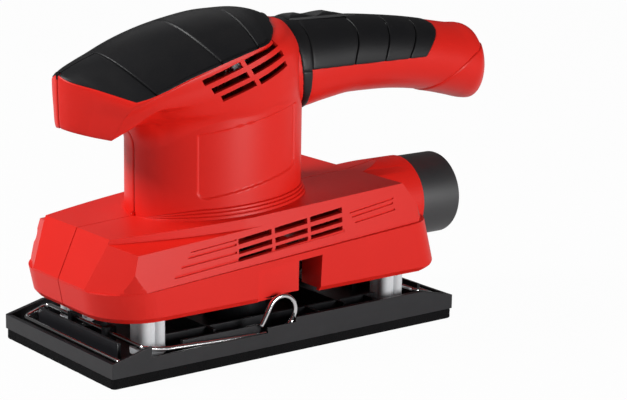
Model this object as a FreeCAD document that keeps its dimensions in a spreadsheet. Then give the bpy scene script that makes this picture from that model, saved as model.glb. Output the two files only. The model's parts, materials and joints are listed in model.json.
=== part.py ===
import FreeCAD, Part
import math
import os

import Sketcher

# Orbital finishing sander. Millimetres, +Z up, +X towards the handle, origin at the centre of the
# sanding face. The drive axis stands one orbit offset behind the plate's centre.

SIZES = [
    # sanding plate and pad
    ("plate_length", 187.0),
    ("plate_width", 90.0),
    ("plate_corner", 2.0),
    ("pad_thickness", 4.6),
    ("plate_floor", 2.4),
    ("end_wall_height", 6.6),
    ("end_wall_thickness", 2.0),
    ("full_wall_height", 11.1),
    ("low_wall_height", 6.5),
    ("catch_height", 8.9),
    ("rim_thickness", 1.2),
    ("rim_slope_length", 18.5),
    ("channel_wall", 1.8),
    ("channel_wall_height", 9.6),
    ("channel_length", 74.0),
    ("catch_length", 15.3),
    ("riser_distance", 82.7),
    ("riser_thickness", 1.6),
    ("riser_height", 10.9),
    ("riser_width", 66.0),
    ("rib_thickness", 1.6),
    ("rib_height", 10.0),
    ("rib_side", 30.0),
    ("dust_hole", 4.5),
    ("dust_near", 22.0),
    ("dust_far", 50.0),
    ("dust_side", 24.0),
    # wire clamps
    ("wire_diameter", 2.2),
    ("clamp_pivot", 76.0),
    ("clamp_pivot_height", 14.5),
    ("clamp_bar", 88.0),
    ("clamp_bar_height", 10.5),
    ("clamp_half_width", 38.0),
    ("lever_plane", 42.3),
    ("lever_end", 13.0),
    ("lever_height", 9.8),
    ("loop_radius", 7.3),
    ("loop_middle", 4.5),
    ("loop_leg", 9.0),
    ("wire_bend", 2.6),
    ("lug_width", 3.2),
    ("lug_side", 14.0),
    # posts
    ("post_distance", 66.0),
    ("post_side", 29.0),
    ("post_radius", 7.7),
    ("post_neck", 4.6),
    ("post_lobe", 2.9),
    ("post_flange", 2.6),
    ("post_screw", 1.5),
    # drive
    ("orbit_offset", 1.0),
    ("running_gap", 0.05),
    ("seat_gap", 0.02),
    ("hub_wall", 3.4),
    ("hub_top", 19.0),
    ("plate_bearing_bore", 8.0),
    ("plate_bearing_outside", 22.0),
    ("plate_bearing_width", 7.0),
    ("plate_bearing_bottom", 9.4),
    ("lower_bearing_bore", 10.0),
    ("lower_bearing_outside", 26.0),
    ("lower_bearing_width", 8.0),
    ("lower_bearing_bottom", 43.0),
    ("upper_bearing_bore", 7.0),
    ("upper_bearing_outside", 19.0),
    ("upper_bearing_width", 6.0),
    ("upper_bearing_bottom", 122.0),
    ("ball_clearance", 0.03),
    ("weight_bottom", 19.9),
    ("weight_height", 7.0),
    ("weight_radius", 19.0),
    ("weight_hub", 8.5),
    ("fan_bottom", 28.5),
    ("fan_height", 12.0),
    ("fan_radius", 32.0),
    ("fan_disc", 1.8),
    ("fan_blade", 1.4),
    ("fan_hub", 8.0),
    ("shaft_lower", 4.0),
    ("shaft_core", 5.5),
    # motor
    ("core_bottom", 62.0),
    ("core_height", 38.0),
    ("core_radius", 15.2),
    ("air_gap", 0.6),
    ("stator_radius", 25.0),
    ("coil_inside", 17.6),
    ("coil_outside", 21.8),
    ("coil_overhang", 5.5),
    ("coil_half_angle", 62.0),
    ("pole_half_angle", 24.0),
    ("commutator_bottom", 107.0),
    ("commutator_height", 11.0),
    ("commutator_radius", 9.5),
    ("brush_gap", 0.2),
    ("brush_length", 9.0),
    ("brush_width", 5.0),
    ("brush_height", 7.0),
    ("holder_wall", 1.0),
    ("holder_reach", 26.5),
    # base housing
    ("skirt_bottom", 24.3),
    ("skirt_front", 90.0),
    ("skirt_rear", 91.6),
    ("skirt_half_width", 41.9),
    ("skirt_front_corner", 23.5),
    ("skirt_rear_corner", 14.0),
    ("skirt_flare", 0.06),
    ("skirt_front_lean", 0.2),
    ("skirt_tuck", 1.5),
    ("skirt_tuck_height", 2.2),
    ("skirt_rear_lean", 0.33),
    ("belt_height", 38.0),
    ("belt_slope", 0.0691),
    ("side_half_width", 42.1),
    ("side_lean", 0.105),
    ("deck_height", 60.4),
    ("deck_slope", 0.055),
    ("deck_rear", 66.0),
    ("base_wall", 2.6),
    ("duct_height", 49.4),
    ("duct_radius", 20.3),
    ("duct_end", 96.0),
    ("duct_rise", 0.17),
    ("tube_radius", 19.7),
    ("tube_bore", 15.4),
    ("tube_end", 119.0),
    ("tube_spigot", 17.7),
    ("vent_length", 17.9),
    ("vent_bridge", 1.7),
    ("vent_height", 2.5),
    ("groove_depth", 1.1),
    ("notch_front", 17.4),
    ("notch_rear", 17.2),
    ("notch_open", 7.5),
    ("notch_top", 40.2),
    ("notch_depth", 3.6),
    # column, head and handle
    ("column_middle", -12.0),
    ("column_length", 84.4),
    ("column_width", 66.4),
    ("body_wall", 2.6),
    ("grip_skin", 2.0),
    ("foot_step", 0.7),
    ("foot_rise", 1.4),
    ("ring_centre", 24.8),
    ("ring_lean", 0.28),
    ("ring_half", 2.8),
    ("ring_proud", 0.7),
    ("grip_split", 120.0),
    ("grip_end", 106.0),
    ("slider_length", 33.5),
    ("slider_width", 11.0),
    ("slider_start", 25.2),
    ("slider_base", 141.1),
    ("slider_crown", 10.0),
    ("slider_travel", 5.0),
    ("switch_length", 27.0),
    ("switch_width", 15.0),
    ("switch_height", 15.0),
    ("capacitor_radius", 7.0),
    ("capacitor_length", 24.0),
    ("capacitor_level", 120.0),
    ("cord_level", 110.5),
    ("inlet_height", 107.5),
    ("inlet_bore", 3.7),
    ("gland_radius", 6.6),
    ("gland_length", 17.0),
    ("gland_face", 141.0),
    ("screw_radius", 1.75),
    ("screw_head", 3.5),
    ("screw_boss", 5.4),
    ("screw_length", 22.0),
]

doc = FreeCAD.newDocument("orbital_sander")
sheet = doc.addObject("Spreadsheet::Sheet", "Sizes")
for row, (alias, value) in enumerate(SIZES, 1):
    sheet.set("A%d" % row, alias.replace("_", " "))
    sheet.set("B%d" % row, str(value))
    sheet.setAlias("B%d" % row, alias)
doc.recompute()

NODES = []
FAR = 400.0


def size(alias):
    return float(sheet.get(alias))


def vec(x, y, z):
    return FreeCAD.Vector(x, y, z)


# ---- document objects -------------------------------------------------------------------------


def origin_plane(body, role):
    for feature in body.Origin.OriginFeatures:
        if feature.Role == role:
            return feature


def new_body(label):
    body = doc.addObject("PartDesign::Body", label)
    body.Label = label
    NODES.append(body)
    return body


def new_sketch(body, name, role="XY_Plane", lift=None):
    sketch = body.newObject("Sketcher::SketchObject", name)
    sketch.AttachmentSupport = [(origin_plane(body, role), "")]
    sketch.MapMode = "FlatFace"
    if lift:
        sketch.setExpression("AttachmentOffset.Base.z", lift)
    return sketch


def hold(sketch, kind, first, second, value, formula):
    """One distance of a sketch, driven by a formula of the sheet's cells."""
    number = sketch.addConstraint(Sketcher.Constraint(kind, first[0], first[1], second[0], second[1], value))
    sketch.setExpression("Constraints[%d]" % number, formula)


def outline(sketch, corners):
    """A closed polygon whose corners are formulas of the sheet's cells."""
    count = len(corners)
    first = sketch.GeometryCount
    ring = []
    for i in range(count):
        turn = 2 * math.pi * i / count
        ring.append(vec(20 * math.cos(turn), 20 * math.sin(turn), 0))
    for i in range(count):
        sketch.addGeometry(Part.LineSegment(ring[i], ring[(i + 1) % count]), False)
    for i in range(count):
        following = first + (i + 1) % count
        sketch.addConstraint(Sketcher.Constraint("Coincident", first + i, 2, following, 1))
    for i, (across, along) in enumerate(corners):
        hold(sketch, "DistanceX", (-1, 1), (first + i, 1), ring[i].x, across)
        hold(sketch, "DistanceY", (-1, 1), (first + i, 1), ring[i].y, along)


def circle(sketch, radius, across="0", along="0"):
    """A circle whose radius and centre are formulas of the sheet's cells."""
    number = sketch.addGeometry(Part.Circle(vec(1, 1, 0), vec(0, 0, 1), 2), False)
    held = sketch.addConstraint(Sketcher.Constraint("Radius", number, 2))
    sketch.setExpression("Constraints[%d]" % held, radius)
    hold(sketch, "DistanceX", (-1, 1), (number, 3), 1, across)
    hold(sketch, "DistanceY", (-1, 1), (number, 3), 1, along)


def pad(body, sketch, length, midplane=False):
    feature = body.newObject("PartDesign::Pad", sketch.Name + "_pad")
    feature.Profile = sketch
    feature.Midplane = midplane
    feature.setExpression("Length", length)
    return feature


def pocket(body, sketch, length, midplane=True):
    feature = body.newObject("PartDesign::Pocket", sketch.Name + "_pocket")
    feature.Profile = sketch
    feature.Midplane = midplane
    feature.setExpression("Length", length)
    return feature


def revolve(body, sketch, axis="V_Axis"):
    feature = body.newObject("PartDesign::Revolution", sketch.Name + "_turned")
    feature.Profile = sketch
    feature.ReferenceAxis = (sketch, [axis])
    feature.Angle = 360
    return feature


def groove(body, sketch, axis="V_Axis"):
    feature = body.newObject("PartDesign::Groove", sketch.Name + "_groove")
    feature.Profile = sketch
    feature.ReferenceAxis = (sketch, [axis])
    feature.Angle = 360
    return feature


def around(body, feature, sketch, count):
    """Repeat a feature evenly about the sketch's normal."""
    pattern = body.newObject("PartDesign::PolarPattern", feature.Name + "_around")
    pattern.Originals = [feature]
    pattern.Axis = (sketch, ["N_Axis"])
    pattern.Angle = 360
    pattern.Occurrences = count
    body.Tip = pattern
    return pattern


def on_drive_axis(thing):
    thing.setExpression("Placement.Base.x", "-Sizes.orbit_offset")


def keep_shape(label, shape):
    """A sub-part worked out with Part's own functions from the sheet's values."""
    feature = doc.addObject("Part::Feature", label)
    feature.Label = label
    feature.Shape = shape
    NODES.append(feature)
    return feature


def primitive(kind, name, **formulas):
    """A Part primitive whose properties are formulas of the sheet's cells."""
    thing = doc.addObject("Part::" + kind, name)
    for key, formula in formulas.items():
        thing.setExpression(key.replace("_at_", "Placement.Base."), formula)
    return thing


# ---- shapes -----------------------------------------------------------------------------------


def block(x0, x1, y0, y1, z0, z1):
    return Part.makeBox(x1 - x0, y1 - y0, z1 - z0, vec(x0, y0, z0))


def post(radius, x, y, z0, z1):
    return Part.makeCylinder(radius, z1 - z0, vec(x, y, z0))


def prism_y(points, y0, y1):
    """A polygon of (x, z) corners carried along Y."""
    corners = [vec(x, y0, z) for x, z in points]
    face = Part.Face(Part.makePolygon(corners + corners[:1]))
    return face.extrude(vec(0, y1 - y0, 0))


def joined(shapes):
    return shapes[0].multiFuse(shapes[1:]).removeSplitter()


def below(point, normal, inset=0.0):
    """The half of space behind a plane that is moved inwards by the inset."""
    outward = FreeCAD.Vector(normal).normalize()
    half = Part.makeBox(2 * FAR, 2 * FAR, FAR, vec(-FAR, -FAR, -FAR))
    turn = FreeCAD.Rotation(vec(0, 0, 1), outward)
    half.Placement = FreeCAD.Placement(point - outward * inset, turn)
    return half


def mirror_y(shape):
    return shape.mirror(vec(0, 0, 0), vec(0, 1, 0))


def half_turn(shape):
    """The same piece turned half round about Z."""
    copy = shape.copy()
    copy.rotate(vec(0, 0, 0), vec(0, 0, 1), 180)
    return copy


def ring_sector(inside, outside, middle, half_angle, z0, z1):
    """Part of a ring about the drive axis, centred on a direction given in degrees."""
    start = vec(-size("orbit_offset"), 0, z0)
    outer = Part.makeCylinder(outside, z1 - z0, start, vec(0, 0, 1), 2 * half_angle)
    inner = Part.makeCylinder(inside, z1 - z0 + 2, start - vec(0, 0, 1), vec(0, 0, 1), 360)
    sector = outer.cut(inner)
    sector.rotate(start, vec(0, 0, 1), middle - half_angle)
    return sector


def rounded_path(points, bend):
    """Straight runs joined by tangent arcs of one radius at each inner corner."""
    edges = []
    begin = points[0]
    for i in range(1, len(points) - 1):
        back = (points[i - 1] - points[i]).normalize()
        ahead = (points[i + 1] - points[i]).normalize()
        half = back.getAngle(ahead) / 2
        reach = bend / math.tan(half)
        entry = points[i] + back * reach
        leave = points[i] + ahead * reach
        inward = (back + ahead).normalize()
        crown = points[i] + inward * (bend / math.sin(half) - bend)
        edges.append(Part.LineSegment(begin, entry).toShape())
        edges.append(Part.Arc(entry, crown, leave).toShape())
        begin = leave
    edges.append(Part.LineSegment(begin, points[-1]).toShape())
    return edges


def pipe(edges, radius):
    path = Part.Wire(edges)
    start = path.OrderedVertexes[0].Point
    along = path.OrderedEdges[0].tangentAt(path.OrderedEdges[0].FirstParameter)
    section = Part.Wire([Part.makeCircle(radius, start, along)])
    return path.makePipeShell([section], True, False)


def screw_shape(head_radius, head_height, radius, length):
    """A pan-head screw standing on its tip's axis, head up, head seat at the origin."""
    head = Part.makeCylinder(head_radius, head_height, vec(0, 0, 0))
    shank = Part.makeCylinder(radius, length, vec(0, 0, -length))
    slot = Part.makeBox(2 * head_radius, 0.8, 0.9, vec(-head_radius, -0.4, head_height - 0.8))
    cross = slot.copy()
    cross.rotate(vec(0, 0, 0), vec(0, 0, 1), 90)
    return head.fuse(shank).removeSplitter().cut(slot).cut(cross)


def placed(shape, position, turn=None):
    copy = shape.copy()
    copy.Placement = FreeCAD.Placement(position, turn or FreeCAD.Rotation())
    return copy


# ---- heights and places that several pieces share ----------------------------------------------

PAD_TOP = size("pad_thickness")
FLOOR_TOP = PAD_TOP + size("plate_floor")
HALF_LENGTH = size("plate_length") / 2
HALF_WIDTH = size("plate_width") / 2
WIRE = size("wire_diameter") / 2
AXIS = -size("orbit_offset")
SHELF_BOTTOM = size("skirt_bottom") + 3.2
SHELF_TOP = SHELF_BOTTOM + 3.0


def post_places():
    distance = size("post_distance")
    side = size("post_side")
    return [(x, y) for x in (-distance, distance) for y in (-side, side)]


def deck_level(x, drop=0.0):
    return size("deck_height") + size("deck_slope") * (x + 56.5) - drop


# ---- plate body -------------------------------------------------------------------------------


def make_foam_pad():
    body = new_body("foam_pad")
    sketch = new_sketch(body, "pad_outline")
    half_l = "Sizes.plate_length / 2"
    half_w = "Sizes.plate_width / 2"
    corners = [("-" + half_l, "-" + half_w), (half_l, "-" + half_w), (half_l, half_w), ("-" + half_l, half_w)]
    outline(sketch, corners)
    slab = pad(body, sketch, "Sizes.pad_thickness")
    doc.recompute()
    uprights = []
    for number, edge in enumerate(slab.Shape.Edges, 1):
        if abs(edge.tangentAt(edge.FirstParameter).z) > 0.99:
            uprights.append("Edge%d" % number)
    corner = body.newObject("PartDesign::Fillet", "pad_corners")
    corner.Base = (slab, uprights)
    corner.setExpression("Radius", "Sizes.plate_corner")
    body.Tip = corner
    holes = new_sketch(body, "pad_dust_holes")
    for across in ("Sizes.dust_near", "Sizes.dust_far"):
        for side in ("", "-"):
            circle(holes, "Sizes.dust_hole", side + across, "Sizes.dust_side")
            circle(holes, "Sizes.dust_hole", side + across, "-Sizes.dust_side")
    pocket(body, holes, "4 * Sizes.pad_thickness")


def near_side_wall():
    """The rim and the lever channel of the near long side; the far side is the same, turned half round."""
    rim = size("rim_thickness")
    low = PAD_TOP + size("low_wall_height")
    full = PAD_TOP + size("full_wall_height")
    ends = PAD_TOP + size("end_wall_height")
    slope = size("rim_slope_length")
    start = -size("channel_length")
    catch = size("catch_length")
    profile = [
        (-HALF_LENGTH, PAD_TOP),
        (HALF_LENGTH, PAD_TOP),
        (HALF_LENGTH, ends),
        (HALF_LENGTH - slope, full),
        (catch - 14.0, full),
        (catch - 14.0, PAD_TOP + size("catch_height")),
        (-14.0, PAD_TOP + size("catch_height")),
        (-14.0, low),
        (start, low),
        (start, full),
        (start - 1.0, full),
        (-HALF_LENGTH, ends),
    ]
    wall = prism_y(profile, -HALF_WIDTH, -HALF_WIDTH + rim)
    thick_start = catch - 9.0
    thick = [(thick_start, PAD_TOP)] + profile[1:4] + [(thick_start, full)]
    backing = prism_y(thick, -HALF_WIDTH, -HALF_WIDTH + 2 * rim)
    channel = size("lever_plane") - WIRE - 0.3
    inner_top = PAD_TOP + size("channel_wall_height")
    inner = block(start + 18, -14.0, -channel, -channel + size("channel_wall"), PAD_TOP, inner_top)
    return [wall, backing, inner]


def make_base_plate():
    floor = block(-HALF_LENGTH, HALF_LENGTH, -HALF_WIDTH, HALF_WIDTH, PAD_TOP, FLOOR_TOP)
    pieces = [floor]
    side = near_side_wall()
    end_top = PAD_TOP + size("end_wall_height")
    end_face = -HALF_LENGTH + size("end_wall_thickness")
    end = block(-HALF_LENGTH, end_face, -HALF_WIDTH, HALF_WIDTH, PAD_TOP, end_top)
    half_riser = size("riser_width") / 2
    riser_x = -size("riser_distance")
    riser = block(
        riser_x - size("riser_thickness") / 2,
        riser_x + size("riser_thickness") / 2,
        -half_riser,
        half_riser,
        PAD_TOP,
        PAD_TOP + size("riser_height"),
    )
    rib_top = PAD_TOP + size("rib_height")
    half_rib = size("rib_thickness") / 2
    brace = block(riser_x, riser_x + 14, -half_rib, half_rib, PAD_TOP, rib_top)
    lugs = []
    for centre in (-size("lug_side"), size("lug_side")):
        low = centre - size("lug_width") / 2
        high = centre + size("lug_width") / 2
        pivot = -size("clamp_pivot")
        lugs.append(block(pivot - 2.8, pivot + 2.8, low, high, PAD_TOP, size("clamp_pivot_height") + 2.8))
    for piece in side + [end, riser, brace] + lugs:
        pieces.append(piece)
        pieces.append(half_turn(piece))
    for x in (-36.0, 36.0):
        pieces.append(block(x - half_rib, x + half_rib, -36.0, 36.0, PAD_TOP, rib_top))
    for y in (-size("rib_side"), size("rib_side")):
        pieces.append(block(-58.0, 58.0, y - half_rib, y + half_rib, PAD_TOP, rib_top))
    for x in (18.0, 52.0):
        tie = block(x - half_rib, x + half_rib, -HALF_WIDTH + 1.0, -size("rib_side"), PAD_TOP, rib_top)
        pieces.append(tie)
        pieces.append(half_turn(tie))
    for x, y in post_places():
        pieces.append(post(size("post_radius"), x, y, PAD_TOP, FLOOR_TOP + 1.0))
    hub_radius = size("plate_bearing_outside") / 2 + size("hub_wall")
    pieces.append(post(hub_radius, 0, 0, PAD_TOP, size("hub_top")))
    plate = joined(pieces)
    bearing = size("plate_bearing_outside") / 2
    seat = size("plate_bearing_bottom")
    cuts = [
        post(bearing + size("seat_gap"), 0, 0, seat, size("hub_top") + 1),
        post(bearing - 3.0, 0, 0, PAD_TOP - 1, seat + 1),
        post(bearing + 1.0, 0, 0, seat + size("plate_bearing_width"), seat + size("plate_bearing_width") + 1.2),
    ]
    clamp_z = size("clamp_pivot_height")
    for side_sign in (-1, 1):
        pivot = side_sign * size("clamp_pivot")
        hole = Part.makeCylinder(WIRE + size("running_gap"), 60, vec(pivot, -30, clamp_z), vec(0, 1, 0))
        cuts.append(hole)
    for x, y in post_places():
        cuts.append(post(size("post_screw") + 0.2, x, y, PAD_TOP - 1, FLOOR_TOP + 2))
        cuts.append(post(3.3, x, y, PAD_TOP - 1, PAD_TOP + 1.6))
    for x in (size("dust_near"), size("dust_far")):
        for sign_x in (-1, 1):
            for sign_y in (-1, 1):
                cuts.append(post(size("dust_hole"), sign_x * x, sign_y * size("dust_side"), 0, 20))
    keep_shape("base_plate", plate.cut(Part.makeCompound(cuts)))


def clamp_shape():
    """One wire: a bar in the front trough, a back section in the two lugs and a lever with a finger loop."""
    bar_x = -size("clamp_bar")
    bar_z = size("clamp_bar_height")
    pivot_x = -size("clamp_pivot")
    pivot_z = size("clamp_pivot_height")
    side = size("clamp_half_width")
    plane = -size("lever_plane")
    end_x = -size("lever_end")
    end_z = size("lever_height")
    radius = size("loop_radius")
    centre_x = -size("loop_middle")
    centre_z = end_z + 1.5 + radius * math.sin(math.radians(80))

    def on_loop(degrees):
        turn = math.radians(degrees)
        return vec(centre_x + radius * math.cos(turn), plane, centre_z + radius * math.sin(turn))

    points = [
        vec(bar_x, -side - 3, bar_z),
        vec(bar_x, side, bar_z),
        vec(pivot_x, side, pivot_z),
        vec(pivot_x, plane, pivot_z),
        vec(pivot_x + 11, plane, end_z + 2.6),
        vec(end_x, plane, end_z),
        on_loop(-80),
    ]
    edges = rounded_path(points, size("wire_bend"))
    edges.append(Part.Arc(on_loop(-80), on_loop(35), on_loop(150)).toShape())
    leg = vec(-math.sin(math.radians(150)), 0, math.cos(math.radians(150))) * size("loop_leg")
    edges.append(Part.LineSegment(on_loop(150), on_loop(150) + leg).toShape())
    return pipe(edges, WIRE)


def make_clamps():
    front = clamp_shape()
    keep_shape("front_clamp", front)
    keep_shape("rear_clamp", half_turn(front))


def make_posts():
    bottom = FLOOR_TOP + 1.0
    top = SHELF_BOTTOM
    neck = size("post_neck")
    lobe = size("post_lobe")
    flange = size("post_flange")
    solids = []
    for x, y in post_places():
        pieces = [
            post(neck, x, y, bottom, top),
            post(size("post_radius"), x, y, bottom, bottom + flange),
            post(size("post_radius"), x, y, top - flange, top),
        ]
        for quarter in range(4):
            turn = math.radians(45 + 90 * quarter)
            reach = size("post_radius") - lobe - 0.2
            pieces.append(post(lobe, x + reach * math.cos(turn), y + reach * math.sin(turn), bottom, top))
        bores = [
            post(size("post_screw"), x, y, bottom - 1, bottom + 8.0),
            post(size("post_screw"), x, y, top - 7.0, top + 1),
        ]
        solids.append(joined(pieces).cut(Part.makeCompound(bores)))
    keep_shape("support_posts", Part.makeCompound(solids))


def make_post_screws():
    radius = size("post_screw")
    screw = screw_shape(3.1, 1.5, radius, 8.0)
    upside_down = FreeCAD.Rotation(vec(1, 0, 0), 180)
    lower = [placed(screw, vec(x, y, PAD_TOP + 1.6), upside_down) for x, y in post_places()]
    keep_shape("post_screws_lower", Part.makeCompound(lower))
    upper = [placed(screw, vec(x, y, SHELF_TOP)) for x, y in post_places()]
    keep_shape("post_screws_upper", Part.makeCompound(upper))


# ---- bearings ---------------------------------------------------------------------------------


def make_bearing(name, offset_axis):
    """Outer race, inner race and seven balls of one deep-groove bearing, from its three catalogue sizes."""
    bore = size(name + "_bore") / 2
    outside = size(name + "_outside") / 2
    bottom = size(name + "_bottom")
    width = size(name + "_width")
    pitch = (bore + outside) / 2
    ball = 0.28 * (outside - bore)
    cell = "Sizes." + name
    ball_cell = "0.14 * (%s_outside - %s_bore)" % (cell, cell)
    pitch_cell = "(%s_outside + %s_bore) / 4" % (cell, cell)
    wall_cell = "0.155 * (%s_outside - %s_bore)" % (cell, cell)
    levels = (cell + "_bottom", "%s_bottom + %s_width" % (cell, cell))
    spans = {
        "outer": ("%s_outside / 2 - %s" % (cell, wall_cell), cell + "_outside / 2"),
        "inner": (cell + "_bore / 2", "%s_bore / 2 + %s" % (cell, wall_cell)),
    }
    for race, (low, high) in spans.items():
        body = new_body("%s_%s" % (name, race))
        section = new_sketch(body, "%s_%s_section" % (name, race), "XZ_Plane")
        outline(section, [(low, levels[0]), (high, levels[0]), (high, levels[1]), (low, levels[1])])
        revolve(body, section)
        track = new_sketch(body, "%s_%s_track" % (name, race), "XZ_Plane")
        middle = "%s_bottom + %s_width / 2" % (cell, cell)
        circle(track, ball_cell + " + Sizes.ball_clearance", pitch_cell, middle)
        groove(body, track)
        if offset_axis:
            on_drive_axis(body)
    centre = vec(AXIS if offset_axis else 0.0, 0, bottom + width / 2)
    balls = []
    for number in range(7):
        turn = 2 * math.pi * number / 7
        place = centre + vec(pitch * math.cos(turn), pitch * math.sin(turn), 0)
        balls.append(Part.makeSphere(ball, place))
    keep_shape(name + "_balls", Part.makeCompound(balls))


def make_bearing_clip():
    """A spring clip in the hub's groove, open over 40 degrees, that keeps the plate bearing down."""
    bottom = size("plate_bearing_bottom") + size("plate_bearing_width") + 0.05
    outer = size("plate_bearing_outside") / 2 + 0.8
    ring = Part.makeCylinder(outer, 1.1, vec(0, 0, bottom), vec(0, 0, 1), 320)
    clip = ring.cut(post(size("plate_bearing_outside") / 2 - 1.8, 0, 0, bottom - 1, bottom + 3))
    keep_shape("bearing_clip", clip)


# ---- rotor ------------------------------------------------------------------------------------


def make_eccentric_weight():
    """Hub on the shaft's lower end, its crank pin in the plate bearing and a half-round counterweight."""
    axis_x = "-Sizes.orbit_offset"
    hub = primitive(
        "Cylinder",
        "weight_hub_round",
        Radius="Sizes.weight_hub",
        Height="Sizes.weight_height",
        _at_x=axis_x,
        _at_z="Sizes.weight_bottom",
    )
    disc = doc.addObject("Part::Cylinder", "weight_half_round")
    disc.Angle = 180
    disc.Placement = FreeCAD.Placement(vec(0, 0, 0), FreeCAD.Rotation(vec(0, 0, 1), 90))
    disc.setExpression("Radius", "Sizes.weight_radius")
    disc.setExpression("Height", "Sizes.weight_height - 1.5")
    disc.setExpression("Placement.Base.x", axis_x)
    disc.setExpression("Placement.Base.z", "Sizes.weight_bottom + 0.5")
    pin = primitive(
        "Cylinder",
        "crank_pin",
        Radius="Sizes.plate_bearing_bore / 2 - Sizes.seat_gap",
        Height="Sizes.weight_bottom - Sizes.plate_bearing_bottom + 1.5",
        _at_z="Sizes.plate_bearing_bottom - 0.5",
    )
    fused = doc.addObject("Part::MultiFuse", "weight_with_pin")
    fused.Shapes = [hub, disc, pin]
    socket = primitive(
        "Cylinder",
        "shaft_socket",
        Radius="Sizes.shaft_lower",
        Height="Sizes.weight_height",
        _at_x=axis_x,
        _at_z="Sizes.weight_bottom + 1.2",
    )
    weight = doc.addObject("Part::Cut", "eccentric_weight")
    weight.Base = fused
    weight.Tool = socket
    weight.Label = "eccentric_weight"
    NODES.append(weight)


def make_cooling_fan():
    body = new_body("cooling_fan")
    disc = new_sketch(body, "fan_disc_round", lift="Sizes.fan_bottom")
    circle(disc, "Sizes.fan_radius")
    pad(body, disc, "Sizes.fan_disc")
    hub = new_sketch(body, "fan_hub_round", lift="Sizes.fan_bottom")
    circle(hub, "Sizes.fan_hub")
    pad(body, hub, "Sizes.fan_height")
    blade = new_sketch(body, "fan_blade_outline", lift="Sizes.fan_bottom")
    tip = "Sizes.fan_radius - 1.5"
    root = "Sizes.fan_hub - 1"
    lean = "5"
    outline(
        blade,
        [(root, "0"), (tip, lean), (tip, lean + " + Sizes.fan_blade"), (root, "Sizes.fan_blade")],
    )
    one = pad(body, blade, "Sizes.fan_height - 0.5")
    doc.recompute()
    around(body, one, blade, 12)
    bore = new_sketch(body, "fan_bore_round", lift="Sizes.fan_bottom")
    circle(bore, "Sizes.shaft_lower")
    pocket(body, bore, "3 * Sizes.fan_height")
    on_drive_axis(body)


def make_motor_shaft():
    body = new_body("motor_shaft")
    section = new_sketch(body, "shaft_section", "XZ_Plane")
    lower_seat = "Sizes.lower_bearing_bore / 2 - Sizes.seat_gap"
    upper_seat = "Sizes.upper_bearing_bore / 2 - Sizes.seat_gap"
    foot = "Sizes.weight_bottom + 1.2"
    shoulder = "Sizes.lower_bearing_bottom - 0.5"
    above_lower = "Sizes.lower_bearing_bottom + Sizes.lower_bearing_width"
    neck = "Sizes.commutator_bottom - 1.5"
    under_upper = "Sizes.upper_bearing_bottom"
    top = "Sizes.upper_bearing_bottom + Sizes.upper_bearing_width + 1"
    outline(
        section,
        [
            ("0", foot),
            ("Sizes.shaft_lower", foot),
            ("Sizes.shaft_lower", shoulder),
            (lower_seat, shoulder),
            (lower_seat, above_lower),
            ("Sizes.shaft_core", above_lower),
            ("Sizes.shaft_core", neck),
            ("Sizes.shaft_lower + 0.5", neck),
            ("Sizes.shaft_lower + 0.5", under_upper),
            (upper_seat, under_upper),
            (upper_seat, top),
            ("0", top),
        ],
    )
    revolve(body, section)
    on_drive_axis(body)


def make_armature_core():
    body = new_body("armature_core")
    rim = new_sketch(body, "core_rim", lift="Sizes.core_bottom")
    circle(rim, "Sizes.core_radius")
    pad(body, rim, "Sizes.core_height")
    bore = new_sketch(body, "core_bore", lift="Sizes.core_bottom")
    circle(bore, "Sizes.shaft_core")
    pocket(body, bore, "4 * Sizes.core_height")
    slot = new_sketch(body, "core_slot", lift="Sizes.core_bottom")
    outline(
        slot,
        [
            ("Sizes.core_radius - 4.5", "-1.6"),
            ("Sizes.core_radius - 1", "-1.6"),
            ("Sizes.core_radius - 1", "-0.6"),
            ("Sizes.core_radius + 1", "-0.6"),
            ("Sizes.core_radius + 1", "0.6"),
            ("Sizes.core_radius - 1", "0.6"),
            ("Sizes.core_radius - 1", "1.6"),
            ("Sizes.core_radius - 4.5", "1.6"),
        ],
    )
    one = pocket(body, slot, "4 * Sizes.core_height")
    doc.recompute()
    around(body, one, slot, 12)
    on_drive_axis(body)


def make_armature_winding():
    """The two end turns of the winding, a rounded collar below and above the core."""
    inner = size("shaft_core")
    outer = size("core_radius") - 1.5
    bottom = size("core_bottom")
    top = bottom + size("core_height")
    collars = []
    for low, high in ((bottom - 5.0, bottom), (top, top + 5.0)):
        collar = post(outer, AXIS, 0, low, high).cut(post(inner, AXIS, 0, low - 1, high + 1))
        far_face = low if low < bottom else high
        flat = [e for e in collar.Edges if e.BoundBox.ZLength < 0.01 and e.BoundBox.XLength > outer]
        rims = [e for e in flat if abs(e.BoundBox.ZMax - far_face) < 0.01]
        collars.append(collar.makeFillet(2.0, rims))
    keep_shape("armature_winding", Part.makeCompound(collars))


def make_commutator():
    body = new_body("commutator")
    rim = new_sketch(body, "commutator_rim", lift="Sizes.commutator_bottom")
    circle(rim, "Sizes.commutator_radius")
    pad(body, rim, "Sizes.commutator_height")
    bore = new_sketch(body, "commutator_bore", lift="Sizes.commutator_bottom")
    circle(bore, "Sizes.shaft_lower + 0.5")
    pocket(body, bore, "4 * Sizes.commutator_height")
    slot = new_sketch(body, "commutator_slot", lift="Sizes.commutator_bottom")
    reach = "Sizes.commutator_radius"
    outline(
        slot,
        [
            (reach + " - 1", "-0.3"),
            (reach + " + 1", "-0.3"),
            (reach + " + 1", "0.3"),
            (reach + " - 1", "0.3"),
        ],
    )
    one = pocket(body, slot, "4 * Sizes.commutator_height")
    doc.recompute()
    around(body, one, slot, 24)
    on_drive_axis(body)


# ---- stator and brush gear ----------------------------------------------------------------------


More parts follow.
